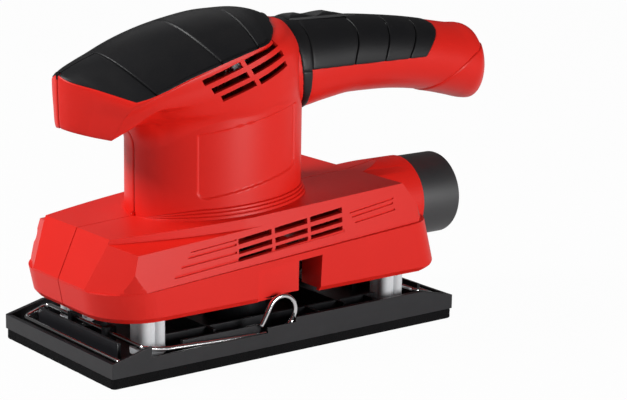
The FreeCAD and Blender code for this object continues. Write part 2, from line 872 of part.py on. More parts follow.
def make_stator():
    bottom = size("core_bottom")
    top = bottom + size("core_height")
    bore = size("core_radius") + size("air_gap")
    pole = size("pole_half_angle")
    spread = size("coil_half_angle")
    inside = size("coil_inside")
    outside = size("coil_outside")
    yoke = post(size("stator_radius"), AXIS, 0, bottom, top).cut(post(bore, AXIS, 0, bottom - 1, top + 1))
    windows = []
    half_window = (spread - pole) / 2
    for side in (0, 180):
        for way in (-1, 1):
            middle = side + way * (pole + half_window)
            half = half_window + 0.6
            windows.append(ring_sector(inside - 0.2, outside + 0.2, middle, half, bottom - 1, top + 1))
    keep_shape("stator_core", yoke.cut(Part.makeCompound(windows)))
    over = size("coil_overhang")
    coils = []
    for side in (0, 180):
        frame = ring_sector(inside, outside, side, spread, bottom - over, top + over)
        hole = ring_sector(inside - 1, outside + 1, side, pole + 0.6, bottom - 0.2, top + 0.2)
        coils.append(frame.cut(hole))
    keep_shape("field_coils", Part.makeCompound(coils))


def make_brush_gear():
    width = size("brush_width")
    height = size("brush_height")
    wall = size("holder_wall")
    middle = size("commutator_bottom") + size("commutator_height") / 2
    start = size("commutator_radius") + size("brush_gap")
    back = start + size("brush_length")
    reach = size("holder_reach")
    slack = 0.05
    tube = block(
        AXIS - width / 2 - wall,
        AXIS + width / 2 + wall,
        start + 1.5,
        reach,
        middle - height / 2 - wall,
        middle + height / 2 + wall,
    )
    room = block(
        AXIS - width / 2 - slack,
        AXIS + width / 2 + slack,
        start,
        reach - wall,
        middle - height / 2 - slack,
        middle + height / 2 + slack,
    )
    holder = tube.cut(room)
    brush = block(AXIS - width / 2, AXIS + width / 2, start, back, middle - height / 2, middle + height / 2)
    wire = 0.3
    turns = 4
    length = reach - wall - back - 2 * wire - 0.2
    coil = Part.makeHelix(length / turns, length, 1.7)
    section = Part.Wire([Part.makeCircle(wire, vec(1.7, 0, 0), vec(0, 1, 0))])
    spring = Part.Wire(coil).makePipeShell([section], True, True)
    spring.rotate(vec(0, 0, 0), vec(1, 0, 0), -90)
    spring.translate(vec(AXIS, back + wire + 0.1, middle))
    for label, solid in (("brush_holders", holder), ("carbon_brushes", brush), ("brush_springs", spring)):
        other = solid.copy()
        other.rotate(vec(AXIS, 0, 0), vec(0, 0, 1), 180)
        keep_shape(label, Part.makeCompound([solid, other]))


# ---- base housing -----------------------------------------------------------------------------


def belt_level(x):
    return size("belt_height") + size("belt_slope") * (x + 76.0)


def rounded_block(x0, x1, half_width, front_corner, rear_corner, z):
    """A wire: rectangle in a level plane, its front and rear corners rounded by their own radii."""
    near = vec(0, -half_width, z)
    far = vec(0, half_width, z)
    rear = rounded_path([near, vec(x1, -half_width, z), vec(x1, half_width, z), far], rear_corner)
    front = rounded_path([far, vec(x0, half_width, z), vec(x0, -half_width, z), near], front_corner)
    return Part.Wire(rear + front)


def skirt_solid(inset):
    """The lower wall up to the belt: tucked in at the rim, both ends leaning, the rear rim bevelled."""
    bottom = size("skirt_bottom") - (1.0 if inset else 0.0)
    tuck = size("skirt_tuck")
    wires = []
    for level, back in ((0.0, inset + tuck), (size("skirt_tuck_height"), inset), (30.0, inset)):
        wires.append(
            rounded_block(
                -size("skirt_front") + back - level * size("skirt_front_lean"),
                size("skirt_rear") - back - level * size("skirt_rear_lean"),
                size("skirt_half_width") - back + level * size("skirt_flare"),
                size("skirt_front_corner") - back,
                size("skirt_rear_corner") - back,
                bottom + level,
            )
        )
    wall = Part.makeLoft(wires, True, True)
    wall = wall.common(below(vec(76.0, 0, size("skirt_bottom")), vec(0.34, 0, -0.94), inset))
    normal = vec(-size("belt_slope"), 0, 1)
    return wall.common(below(vec(0, 0, belt_level(0)), normal, inset))


def nose_round(inset):
    """The skirt's rounded nose drawn on upwards, to trim the corners of the upper part."""
    wires = []
    for level in (4.0, 60.0):
        wires.append(
            rounded_block(
                -size("skirt_front") + inset - level * size("skirt_front_lean"),
                120.0,
                size("skirt_half_width") - inset + level * size("skirt_flare"),
                size("skirt_front_corner") - inset,
                4.0,
                size("skirt_bottom") + level,
            )
        )
    return Part.makeLoft(wires, True, True)


def upper_solid(inset):
    """The faceted upper part: a wedge nose, leaning sides, sloping deck and a stepped-down shoulder."""
    half = size("side_half_width")
    lean = size("side_lean")
    belt = size("belt_height")
    planes = [
        (vec(-56.5, 0, size("deck_height")), vec(-size("deck_slope"), 0, 1)),
        (vec(0, -half, belt), vec(0, -1, lean)),
        (vec(0, half, belt), vec(0, 1, lean)),
        (vec(-93.0, 0, 36.6), vec(-22.1, 0, 10.0)),
        (vec(-93.1, -19.8, belt), vec(-0.862, -0.4225, 0.279)),
        (vec(-93.1, 19.8, belt), vec(-0.862, 0.4225, 0.279)),
        (vec(size("deck_rear"), 0, deck_level(size("deck_rear"))), vec(19.0, 0, 15.0)),
        (vec(81.0, 0, 48.5), vec(16.5, 0, 3.5)),
        (vec(75.5, -half + 1.5, 48.5), vec(1.0, -1.0, 0.25)),
        (vec(75.5, half - 1.5, 48.5), vec(1.0, 1.0, 0.25)),
    ]
    solid = block(-120, 120, -60, 60, size("skirt_bottom") - 1.0, 90)
    for point, normal in planes:
        solid = solid.common(below(point, normal, inset))
    floor = below(vec(0, 0, belt_level(0)), vec(-size("belt_slope"), 0, 1), inset + 0.2)
    return solid.common(nose_round(inset + 0.15)).cut(floor)


def terrace_cut(inset):
    """What the two side terraces take off the deck: outside a long shallow arc, above two falling planes."""
    arc = Part.Arc(vec(-100, -21.0 + inset, 0), vec(-40, -36.4 + inset, 0), vec(40, -41.6 + inset, 0)).toShape()
    corners = [vec(40, -41.6 + inset, 0), vec(40, -80, 0), vec(-100, -80, 0), vec(-100, -21.0 + inset, 0)]
    face = Part.Face(Part.Wire([arc] + list(Part.makePolygon(corners).Edges)))
    outside = face.extrude(vec(0, 0, 120))
    front_floor = below(vec(-78.0, -40.0, 54.2), vec(-0.062, -0.22, 1.0), inset)
    rear_floor = below(vec(-15.0, -40.0, 58.1), vec(-0.114, -0.22, 1.0), inset)
    one_side = outside.cut(front_floor).cut(rear_floor)
    return one_side, mirror_y(one_side)


def base_solid(inset):
    near, far = terrace_cut(inset)
    upper = upper_solid(inset).cut(near).cut(far)
    return skirt_solid(inset).fuse(upper)


def sloping_slot(x0, x1, low, high, slope, y0, y1):
    """A slot whose long edges rise towards the rear."""
    corners = [(x0, low), (x1, low + slope * (x1 - x0)), (x1, high + slope * (x1 - x0)), (x0, high)]
    return prism_y(corners, y0, y1)


def side_vents():
    """Three rows of three through slots, drawn out forwards and backwards by blind grooves."""
    length = size("vent_length")
    pitch = length + size("vent_bridge")
    height = size("vent_height")
    rows = ((54.3, 0.112, 1.0), (49.9, 0.112, 0.9), (46.4, 0.104, 0.8))
    slots = []
    grooves = []
    outside = -size("side_half_width") - 3
    for top, slope, share in rows:
        for column in range(3):
            x0 = -27.0 + column * pitch
            level = top + slope * (x0 + 27.0)
            slots.append(sloping_slot(x0, x0 + length, level - height * share, level, slope, outside, -30))
    lines = (
        (-51.7, -28.0, 51.8, 0.6, 0.084),
        (-53.1, -28.0, 49.4, 1.0, 0.086),
        (-56.9, -28.0, 45.8, 1.0, 0.079),
        (-60.4, 31.0, 41.9, 1.3, 0.082),
        (34.5, 60.2, 57.2, 0.7, 0.13),
        (35.7, 59.8, 55.2, 0.9, 0.13),
        (37.3, 60.9, 52.5, 0.9, 0.12),
    )
    for x0, x1, low, height, slope in lines:
        skin = -size("side_half_width") + (low - size("belt_height")) * size("side_lean")
        deep = skin + size("groove_depth")
        grooves.append(sloping_slot(x0, x1, low, low + height, slope, outside, deep))
    return slots, grooves


def vent_grille():
    slots, grooves = side_vents()
    return Part.makeCompound(slots + grooves + [mirror_y(s) for s in slots + grooves])


def near_notch():
    """The scooped recess over the near lever's finger loop, with a through opening at its rear end."""
    skin = -size("side_half_width")
    floor = skin + size("notch_depth")
    front = -size("notch_front")
    rear = size("notch_rear")
    outer = [(front, -46.0), (rear, -46.0), (rear, floor), (front + 15.0, floor)]
    ramp = [(front + 1.9, skin + 2.4), (front + 0.8, skin + 1.6), (front, skin + 0.3)]
    bottom = size("skirt_bottom") - 2
    wire = Part.makePolygon([vec(x, y, bottom) for x, y in outer + ramp + outer[:1]])
    recess = Part.Face(wire).extrude(vec(0, 0, 30))
    opening = block(size("notch_open"), rear, -46.0, -33.0, bottom, 60.0)
    room = recess.fuse(opening)
    return room.common(below(vec(0, 0, size("notch_top")), vec(-size("belt_slope"), 0, 1)))


def notch_backing():
    """The wall behind the recess, and the cheek that closes its opening towards the rear."""
    outer = -size("side_half_width") + 1.2
    inner = -size("side_half_width") + size("notch_depth") + 1.4
    rear = size("notch_rear")
    low = size("skirt_bottom") + 1.2
    top = size("notch_top") + 3.0
    back = block(-size("notch_front") - 1.6, size("notch_open"), outer, inner, low, top)
    return back.fuse(block(rear, rear + 1.6, outer, -28.0, low, top))


def screw_places_base():
    return [(-78.0, 46.0), (-48.0, 36.0), (48.0, 36.0)]


def screw_boss(x, z, cavity):
    """A tube across the housing for one screw, cut to the room inside it."""
    tube = Part.makeCylinder(size("screw_boss"), 2 * FAR, vec(x, -FAR, z), vec(0, 1, 0))
    return tube.common(cavity)


def screw_bore(x, z, half_width):
    """The screw enters from the far side; its head sits in a sunk seat."""
    seat = size("screw_length") / 2
    shank = Part.makeCylinder(size("screw_radius"), seat + 12.5, vec(x, -12.0, z), vec(0, 1, 0))
    sink = Part.makeCylinder(size("screw_head") + 0.3, half_width, vec(x, seat, z), vec(0, 1, 0))
    return shank.fuse(sink)


def make_base_shells():
    wall = size("base_wall")
    cavity = base_solid(wall)
    deck_rear = size("deck_rear")
    duct_start = vec(deck_rear - 6.0, 0, size("duct_height"))
    duct = Part.makeCylinder(size("duct_radius"), size("duct_end") - deck_rear + 6.0, duct_start, vec(1, 0, 0))
    duct = duct.common(below(vec(deck_rear, 0, deck_level(deck_rear)), vec(-size("duct_rise"), 0, 1)))
    shell = base_solid(0.0).fuse(duct).cut(cavity)
    for backing in (notch_backing(), half_turn(notch_backing())):
        shell = shell.fuse(backing.common(base_solid(1.0)))
    bearing = size("lower_bearing_outside") / 2
    low = size("lower_bearing_bottom")
    high = low + size("lower_bearing_width")
    ribs = [
        post(bearing + 3.0, AXIS, 0, low, high + 1.6),
        block(-90, 62, -3.0, 3.0, low, high),
        block(AXIS - 2.0, AXIS + 2.0, -60, 60, low, high),
    ]
    for x, y in post_places():
        ribs.append(block(x - 9, x + 9, y - 9, y + 30 if y > 0 else y + 9, SHELF_BOTTOM, SHELF_TOP))
        if y < 0:
            ribs.append(block(x - 9, x + 9, y - 30, y + 9, SHELF_BOTTOM, SHELF_TOP))
    for x, z in screw_places_base():
        ribs.append(screw_boss(x, z, cavity))
    inside = joined([rib.common(cavity) for rib in ribs])
    bore = size("tube_spigot") + size("seat_gap")
    fan_low = size("fan_bottom") - 3.0
    fan_room = post(size("fan_radius") + 3.0, AXIS, 0, fan_low, size("fan_bottom") + size("fan_height") + 1.5)
    inside = inside.cut(fan_room)
    shell = shell.fuse(inside)
    cuts = [
        post(bearing + size("seat_gap"), AXIS, 0, low - 1, high),
        post(bearing - 3.0, AXIS, 0, high - 1, high + 5),
        Part.makeCylinder(bore, 60, vec(78, 0, size("duct_height")), vec(1, 0, 0)),
        Part.makeCylinder(size("tube_bore"), 30, vec(66, 0, size("duct_height")), vec(1, 0, 0)),
        column_prism(0.15, 40.0, 90.0).common(block(-120, 120, -60, 60, 54.0, 90)),
        vent_grille(),
        near_notch(),
        half_turn(near_notch()),
    ]
    for x, y in post_places():
        cuts.append(post(size("post_screw") + 0.3, x, y, SHELF_BOTTOM - 1, SHELF_TOP + 1))
        cuts.append(post(size("post_radius") + size("seat_gap"), x, y, size("skirt_bottom") - 2, SHELF_BOTTOM))
    for x, z in screw_places_base():
        cuts.append(screw_bore(x, z, 60))
    for cut in cuts:
        shell = shell.cut(cut)
    return split_halves(shell, "base_shell")


def split_halves(shell, name):
    near = shell.common(block(-FAR, FAR, -FAR, 0, -10, FAR))
    far = shell.common(block(-FAR, FAR, 0, FAR, -10, FAR))
    keep_shape(name + "_left", largest(near))
    keep_shape(name + "_right", largest(far))


def largest(shape):
    """The main solid of a cut; what is left over is printed so that nothing is lost unseen."""
    solids = sorted(shape.Solids, key=lambda s: s.Volume, reverse=True)
    for extra in solids[1:]:
        print("loose piece", round(extra.Volume, 2), extra.BoundBox)
    return solids[0]


# ---- column, head and handle --------------------------------------------------------------------


def column_prism(grow, z0, z1):
    """The oval column, larger all round by the given amount."""
    along = size("column_length") / 2 + grow
    across = size("column_width") / 2 + grow
    ellipse = Part.Ellipse(vec(size("column_middle"), 0, z0), along, across).toShape()
    return Part.Face(Part.Wire([ellipse])).extrude(vec(0, 0, z1 - z0))


# Head sections along X: x, keel level, keel half width, edge half width, edge level, crown level.
HEAD_SECTIONS = [
    (-91.6, 104.5, 3.0, 4.0, 122.5, 124.8),
    (-89.0, 102.5, 6.5, 8.0, 123.2, 127.0),
    (-84.0, 101.2, 11.0, 14.0, 121.6, 129.4),
    (-77.0, 99.0, 18.0, 23.0, 118.6, 131.9),
    (-71.0, 103.5, 23.5, 29.0, 116.4, 134.0),
    (-62.0, 108.0, 28.0, 31.5, 120.0, 137.8),
    (-48.0, 104.0, 31.0, 34.0, 124.8, 142.4),
    (-30.0, 101.0, 33.0, 36.0, 130.4, 146.2),
    (-10.0, 101.0, 33.2, 36.4, 135.4, 148.2),
    (4.0, 102.0, 31.0, 34.0, 137.4, 147.4),
    (14.0, 103.0, 27.0, 28.5, 137.8, 143.6),
    (22.5, 104.0, 20.5, 21.0, 135.0, 141.6),
]

# Handle sections along X: x, lowest level, highest level, half width.
HANDLE_SECTIONS = [
    (14.0, 98.5, 142.0, 20.5),
    (30.0, 99.5, 141.4, 20.6),
    (45.0, 102.2, 141.2, 20.2),
    (62.0, 104.4, 140.4, 19.8),
    (80.0, 104.2, 138.8, 19.4),
    (97.0, 102.8, 136.8, 19.0),
    (112.0, 100.4, 134.4, 18.6),
    (124.0, 97.6, 132.4, 18.2),
    (132.5, 95.4, 131.4, 17.2),
    (136.6, 94.8, 129.0, 14.2),
    (139.2, 96.2, 124.0, 10.8),
    (140.3, 100.0, 117.5, 7.6),
]


def head_section(x, keel, keel_half, edge_half, edge, crown, inset):
    """Keel line, two side lines and a domed top of two arcs, as one closed wire across the head."""
    keel_half = max(keel_half - inset, 0.8)
    edge_half = max(edge_half - inset, 1.2)
    keel = keel + inset
    crown = crown - inset
    edge = min(edge - inset * 0.4, crown - 0.6)
    top = vec(x, 0, crown)
    left = vec(x, -edge_half, edge)
    right = vec(x, edge_half, edge)
    shoulder = 0.6
    mid_left = vec(x, -edge_half * shoulder, edge + (crown - edge) * 0.74)
    mid_right = vec(x, edge_half * shoulder, edge + (crown - edge) * 0.74)
    keel_left = vec(x, -keel_half, keel)
    keel_right = vec(x, keel_half, keel)
    arcs = [Part.Arc(left, mid_left, top).toShape(), Part.Arc(top, mid_right, right).toShape()]
    lines = [
        Part.LineSegment(right, keel_right).toShape(),
        Part.LineSegment(keel_right, keel_left).toShape(),
        Part.LineSegment(keel_left, left).toShape(),
    ]
    return Part.Wire(arcs + lines)


def head_solid(inset):
    """The boat-shaped head, ruled through its sections."""
    wires = []
    last = len(HEAD_SECTIONS) - 1
    for number, (x, keel, keel_half, edge_half, edge, crown) in enumerate(HEAD_SECTIONS):
        if number == 0:
            x = x + inset
        elif number == last:
            x = x - inset
        elif x - HEAD_SECTIONS[0][0] < inset + 0.5:
            continue
        wires.append(head_section(x, keel, keel_half, edge_half, edge, crown, inset))
    return Part.makeLoft(wires, True, True)


def handle_section(x, low, high, half_width, inset):
    """A smooth oval across the handle."""
    centre = (low + high) / 2
    half_height = (high - low) / 2 - inset
    half = half_width - inset
    points = []
    for i in range(12):
        turn = 2 * math.pi * i / 12
        points.append(vec(x, half * math.cos(turn), centre + half_height * math.sin(turn)))
    curve = Part.BSplineCurve()
    curve.interpolate(Points=points, PeriodicFlag=True)
    return Part.Wire([curve.toShape()])


def handle_solid(inset):
    wires = []
    last = len(HANDLE_SECTIONS) - 1
    for number, (x, low, high, half_width) in enumerate(HANDLE_SECTIONS):
        if number == last:
            x = x - inset
        elif number == last - 1 and inset:
            x = x - 0.75 * inset
        elif number == last - 2 and inset:
            x = x - 0.3 * inset
        shrink = min(inset, half_width - 2.0)
        wires.append(handle_section(x, low, high, half_width, shrink))
    return Part.makeLoft(wires, True, False)


def above_edge():
    """The room above the head's edge line, which the cap fills."""
    line = [(x, edge) for x, _, _, _, edge, _ in HEAD_SECTIONS if x > -80]
    line = [(-100.0, 126.8), (-91.6, 123.4)] + line[:-2] + [(9.5, 140.4), (14.8, 143.0)]
    return prism_y(line + [(15.0, 170.0), (-100.0, 170.0)], -60, 60)


def ring_room(half_thickness):
    """A slab across the handle's root: upright above the split line, leaning forwards below it."""
    centre = size("ring_centre")
    split = size("grip_split")
    foot = centre + size("ring_lean") * (split - 60.0)
    front = [(foot - half_thickness, 60.0), (centre - half_thickness, split), (centre - half_thickness, 180.0)]
    back = [(centre + half_thickness, 180.0), (centre + half_thickness, split), (foot + half_thickness, 60.0)]
    return prism_y(front + back, -60, 60)


def behind_ring():
    centre = size("ring_centre")
    split = size("grip_split")
    foot = centre + size("ring_lean") * (split - 60.0)
    return prism_y([(foot, 60.0), (FAR, 60.0), (FAR, 180.0), (centre, 180.0), (centre, split)], -60, 60)


def grip_room():
    """The room of the black upper grip: above the split line, with a raked rear end."""
    split = size("grip_split")
    end = size("grip_end")
    corners = [(0.0, split), (end - 14.0, split), (end - 3.0, split + 9.0), (end, 180.0), (0.0, 180.0)]
    return prism_y(corners, -60, 60)


def tail_room():
    """The room of the end lobe, below and behind a rising arc."""
    arc = Part.Arc(vec(98, -60, 95.5), vec(118, -60, 111.5), vec(146, -60, 124.0)).toShape()
    around_arc = ((146, 124.0), (170, 124.0), (170, 80.0), (98, 80.0), (98, 95.5))
    corners = [vec(x, -60, z) for x, z in around_arc]
    face = Part.Face(Part.Wire([arc] + list(Part.makePolygon(corners).Edges)))
    return face.extrude(vec(0, 120, 0))


def head_vent_slots():
    """Two columns of three slanted slots below the cap on each side."""
    slots = []
    rows = (
        (-41.9, 19.0, 122.6, 0.337),
        (-36.9, 17.5, 118.6, 0.337),
        (-31.8, 16.5, 114.8, 0.346),
        (-20.8, 18.0, 129.6, 0.383),
        (-17.1, 17.3, 125.3, 0.39),
        (-13.0, 15.7, 120.7, 0.41),
    )
    for x, length, z, slope in rows:
        slots.append(sloping_slot(x, x + length, z - 1.25, z + 1.25, slope, -60, -24))
    return Part.makeCompound(slots + [mirror_y(s) for s in slots])


def screw_places_body():
    return [(-46.0, 66.0), (-78.0, 112.0), (15.5, 112.0), (93.5, 111.5), (119.0, 122.0)]


def foot_rings():
    """Three stepped rings round the column's foot, level with the sloping deck."""
    rings = []
    normal = vec(-size("deck_slope"), 0, 1)
    for number in range(3):
        grow = size("foot_step") * (3 - number)
        rise = size("foot_rise") * (number + 1)
        top = below(vec(-56.5, 0, size("deck_height") + rise), normal)
        bottom = below(vec(-56.5, 0, size("deck_height")), normal)
        rings.append(column_prism(grow, 50.0, 80.0).common(top).cut(bottom))
    return rings


def foot_flange():
    """The lip under the deck that keeps the column in the base."""
    normal = vec(-size("deck_slope"), 0, 1)
    top = below(vec(-56.5, 0, size("deck_height")), normal, size("base_wall") + 0.1)
    bottom = below(vec(-56.5, 0, size("deck_height")), normal, size("base_wall") + 2.1)
    lip = column_prism(2.0, 40.0, 80.0).common(top).cut(bottom)
    stem = column_prism(0.0, 40.0, 70.0).cut(bottom)
    return lip, stem


def make_body_pieces():
    wall = size("body_wall")
    skin = size("grip_skin")
    lip, stem = foot_flange()
    column_top = 112.0
    outer_head = head_solid(0.0)
    outer_handle = handle_solid(0.0)
    column = column_prism(0.0, 66.0, column_top)
    outer = stem.fuse(column).fuse(outer_head).fuse(outer_handle).fuse(lip)
    for ring in foot_rings():
        outer = outer.fuse(ring)
    inner_column = column_prism(-wall, 40.0, column_top)
    inner_head = head_solid(wall + skin)
    inner_handle = handle_solid(wall + skin)
    cap = outer_head.cut(head_solid(skin)).common(above_edge())
    proud = size("ring_proud")
    ring_band = handle_solid(-proud).common(ring_room(size("ring_half")))
    ring = ring_band.cut(handle_solid(skin))
    grip = outer_handle.cut(handle_solid(skin)).common(grip_room()).common(behind_ring())
    grip = grip.cut(ring_room(size("ring_half")))
    tail = outer_handle.common(tail_room())
    gland_x = size("gland_face") - size("gland_length")
    gland_start = vec(gland_x, 0, size("inlet_height"))
    gland_room = Part.makeCylinder(size("gland_radius"), 40, gland_start, vec(1, 0, 0))
    tail_hollow = handle_solid(wall).common(block(90, gland_x - 3.0, -60, 60, 80, 180))
    tail = tail.cut(tail_hollow).cut(gland_room)
    tail = tail.cut(Part.makeCylinder(4.2, 60, vec(gland_x - 20, 0, size("inlet_height")), vec(1, 0, 0)))
    cavity = inner_column.fuse(inner_head).fuse(inner_handle)
    shell = outer.cut(cavity)
    for room in (cap, ring, grip, outer_handle.common(tail_room())):
        shell = shell.cut(room)
    shell = shell.fuse(body_ribs(cavity).cut(ring))
    slot_front = size("slider_start") + 9.0
    slot_rear = slot_front + 12.0 + size("slider_travel")
    stem_slot = block(slot_front, slot_rear, -4.2, 4.2, size("slider_base") - 12.0, size("slider_base") + 8.0)
    seat_end = size("slider_start") + size("slider_length") + size("slider_travel") + 1.0
    half_seat = size("slider_width") / 2 + 0.5
    seat_floor = size("slider_base") - 0.9
    seat = block(size("slider_start") - 1.0, seat_end, -half_seat, half_seat, seat_floor, seat_floor + 8.0)
    cuts = [stem_slot, seat, head_vent_slots()]
    for x, z in screw_places_body():
        cuts.append(screw_bore(x, z, 60))
    for cut in cuts:
        shell = shell.cut(cut)
    split_halves(shell, "body_shell")
    keep_shape("head_grip", largest(cap))
    keep_shape("handle_grip", largest(grip.cut(stem_slot).cut(seat)))
    keep_shape("handle_ring", largest(ring.cut(seat).cut(stem_slot)))
    for x, z in screw_places_body():
        tail = tail.cut(screw_bore(x, z, 60))
    keep_shape("handle_tail", largest(tail))


def body_ribs(cavity):
    """Ribs inside the body: bearing bridge, stator clamps, brush shelves, switch and capacitor cradles."""
    bearing = size("upper_bearing_outside") / 2
    low = size("upper_bearing_bottom")
    high = low + size("upper_bearing_width")
    stator = size("stator_radius")
    core_low = size("core_bottom")
    core_high = core_low + size("core_height")
    bridge = joined([
        post(bearing + 2.6, AXIS, 0, low, high + 1.8),
        block(-84, 16, -2.4, 2.4, low, high),
        block(AXIS - 1.6, AXIS + 1.6, -60, 60, low, high),
    ])
    bridge = bridge.cut(post(bearing + size("seat_gap"), AXIS, 0, low - 1, high))
    bridge = bridge.cut(post(bearing - 2.0, AXIS, 0, high - 1, high + 3))
    clamps = joined([
        block(-60, 40, -2.0, 2.0, core_low, core_high),
        block(AXIS - 1.6, AXIS + 1.6, -60, 60, core_low, core_high),
    ])
    clamps = clamps.cut(post(stator + size("seat_gap"), AXIS, 0, core_low - 1, core_high + 1))
    middle = size("commutator_bottom") + size("commutator_height") / 2
    half_w = size("brush_width") / 2 + size("holder_wall")
    half_h = size("brush_height") / 2 + size("holder_wall")
    reach = size("holder_reach")
    shelves = []
    for side in (-1, 1):
        y0, y1 = sorted((side * (reach - 6.0), side * 60.0))
        rooms = []
        for grow, low_y, high_y in ((1.5, y0, y1), (0.05, -reach - 0.05, reach + 0.05)):
            across = half_w + grow
            tall = half_h + grow
            rooms.append(block(AXIS - across, AXIS + across, low_y, high_y, middle - tall, middle + tall))
        shelves.append(rooms[0].cut(rooms[1]))
    parts = [bridge, clamps] + shelves + handle_ribs()
    for x, z in screw_places_body():
        parts.append(screw_boss(x, z, cavity))
    return Part.makeCompound([part.common(cavity) for part in parts])


def switch_place():
    """Lowest front corner of the switch body."""
    front = size("slider_start") + 6.0
    level = size("slider_base") - 9.5 - size("switch_height")
    return front, level


def handle_ribs():
    front, level = switch_place()
    rear = front + size("switch_length")
    half = size("switch_width") / 2
    top = level + size("switch_height")
    cradle = block(front - 1.6, rear + 1.6, -60, 60, level - 1.6, level + 4.0)
    cradle = cradle.cut(block(front - 0.05, rear + 0.05, -half - 0.05, half + 0.05, level, top + 1))
    radius = size("capacitor_radius")
    start = rear + 6.0
    length = size("capacitor_length")
    saddles = []
    for x in (start + 3.0, start + length - 5.0):
        saddles.append(block(x, x + 2.0, -60, 60, 80.0, size("capacitor_level") - 2.0))
    centre = vec(start - 1, 0, size("capacitor_level"))
    room = Part.makeCylinder(radius + size("seat_gap"), length + 2, centre, vec(1, 0, 0))
    saddles = [saddle.cut(room) for saddle in saddles]
    table = block(100.0, 114.0, -60, 60, 101.0, size("cord_level"))
    channel = Part.makeCylinder(size("inlet_bore"), 40, vec(90, 0, size("cord_level")), vec(1, 0, 0))
    for y in (-7.5, 7.5):
        channel = channel.fuse(post(1.5, 107.0, y, size("cord_level") - 4.5, size("cord_level") + 1))
    return [cradle] + saddles + [table.cut(channel)]


# ---- small parts in and on the body -------------------------------------------------------------


def make_switch_slider():
    """A crowned button with a square stem; its outline is two finger humps with a dip between."""
    start = size("slider_start")
    length = size("slider_length")
    base = size("slider_base")
    half = size("slider_width") / 2
    waves = [(0.0, 0.3), (0.2, 2.2), (0.43, 0.6), (0.69, 2.0), (0.92, 0.3), (1.0, 0.1)]
    points = [vec(start + share * length, 0, base + rise) for share, rise in waves]
    curve = Part.BSplineCurve()
    curve.interpolate(points)
    floor = base - 0.6
    corners = [points[-1], vec(start + length, 0, floor), vec(start, 0, floor), points[0]]
    face = Part.Face(Part.Wire([curve.toShape()] + list(Part.makePolygon(corners).Edges)))
    button = face.extrude(vec(0, half, 0)).fuse(face.extrude(vec(0, -half, 0))).removeSplitter()
    crown = size("slider_crown")
    axis = vec(start - 1, 0, base + 2.2 - crown)
    button = button.common(Part.makeCylinder(crown, length + 2, axis, vec(1, 0, 0)))
    front = start + 9.5
    stem = block(front, front + 11.0, -3.9, 3.9, base - 9.3, base)
    keep_shape("switch_slider", button.fuse(stem).removeSplitter())


def make_switch_body():
    front, level = switch_place()
    body = new_body("switch_body")
    box = new_sketch(body, "switch_outline")
    length = "Sizes.switch_length"
    half = "Sizes.switch_width / 2"
    outline(box, [("0", "-" + half), (length, "-" + half), (length, half), ("0", half)])
    pad(body, box, "Sizes.switch_height")
    tags = new_sketch(body, "switch_tags", lift="-4")
    for place in ("5", "14"):
        outline(tags, [(place, "-0.4"), (place + " + 4", "-0.4"), (place + " + 4", "0.4"), (place, "0.4")])
    pad(body, tags, "4")
    body.setExpression("Placement.Base.x", "Sizes.slider_start + 6")
    body.setExpression("Placement.Base.z", "Sizes.slider_base - 9.5 - Sizes.switch_height")


def make_capacitor():
    body = new_body("capacitor")
    can = new_sketch(body, "capacitor_round", "YZ_Plane")
    circle(can, "Sizes.capacitor_radius")
    pad(body, can, "Sizes.capacitor_length")
    body.setExpression("Placement.Base.x", "Sizes.slider_start + 12 + Sizes.switch_length")
    body.setExpression("Placement.Base.z", "Sizes.capacitor_level")


def make_cord_clamp():
    body = new_body("cord_clamp")
    bar = new_sketch(body, "clamp_bar_outline", lift="Sizes.cord_level")
    outline(bar, [("103", "-11"), ("111", "-11"), ("111", "11"), ("103", "11")])
    pad(body, bar, "6")
    cord = new_sketch(body, "clamp_cord_round", "YZ_Plane", "107")
    circle(cord, "Sizes.inlet_bore", "0", "Sizes.cord_level")
    doc.recompute()
    pocket(body, cord, "60")
    holes = new_sketch(body, "clamp_screw_holes")
    circle(holes, "1.7", "107", "7.5")
    circle(holes, "1.7", "107", "-7.5")
    pocket(body, holes, "400")
    screw = screw_shape(2.9, 1.8, 1.5, 8.0)
    seat = size("cord_level") + 6.0
    keep_shape("clamp_screws", Part.makeCompound([placed(screw, vec(107, y, seat)) for y in (-7.5, 7.5)]))


def make_cord_gland():
    body = new_body("cord_gland")
    section = new_sketch(body, "gland_section", "XZ_Plane")
    start = "Sizes.gland_face - Sizes.gland_length"
    outside = "Sizes.gland_radius - Sizes.seat_gap"
    outline(
        section,
        [
            (start, "Sizes.inlet_bore"),
            ("Sizes.gland_face", "Sizes.inlet_bore"),
            ("Sizes.gland_face", outside + " - 1.2"),
            ("Sizes.gland_face - 1.2", outside),
            (start, outside),
        ],
    )
    revolve(body, section, "H_Axis")
    body.setExpression("Placement.Base.z", "Sizes.inlet_height")


def make_dust_port():
    body = new_body("dust_port")
    section = new_sketch(body, "tube_section", "XZ_Plane")
    seat = "Sizes.duct_end"
    outline(
        section,
        [
            (seat + " - 13", "Sizes.tube_bore"),
            ("Sizes.tube_end", "Sizes.tube_bore"),
            ("Sizes.tube_end", "Sizes.tube_radius"),
            (seat, "Sizes.tube_radius"),
            (seat, "Sizes.tube_spigot"),
            (seat + " - 13", "Sizes.tube_spigot"),
        ],
    )
    revolve(body, section, "H_Axis")
    body.setExpression("Placement.Base.z", "Sizes.duct_height")


def make_housing_screws():
    seat = size("screw_length") / 2
    screw = screw_shape(size("screw_head"), 2.4, size("screw_radius"), seat + 11.0)
    sideways = FreeCAD.Rotation(vec(1, 0, 0), -90)
    places = screw_places_base() + screw_places_body()
    solids = [placed(screw, vec(x, seat, z), sideways) for x, z in places]
    keep_shape("housing_screws", Part.makeCompound(solids))


# ---- the whole tool -----------------------------------------------------------------------------


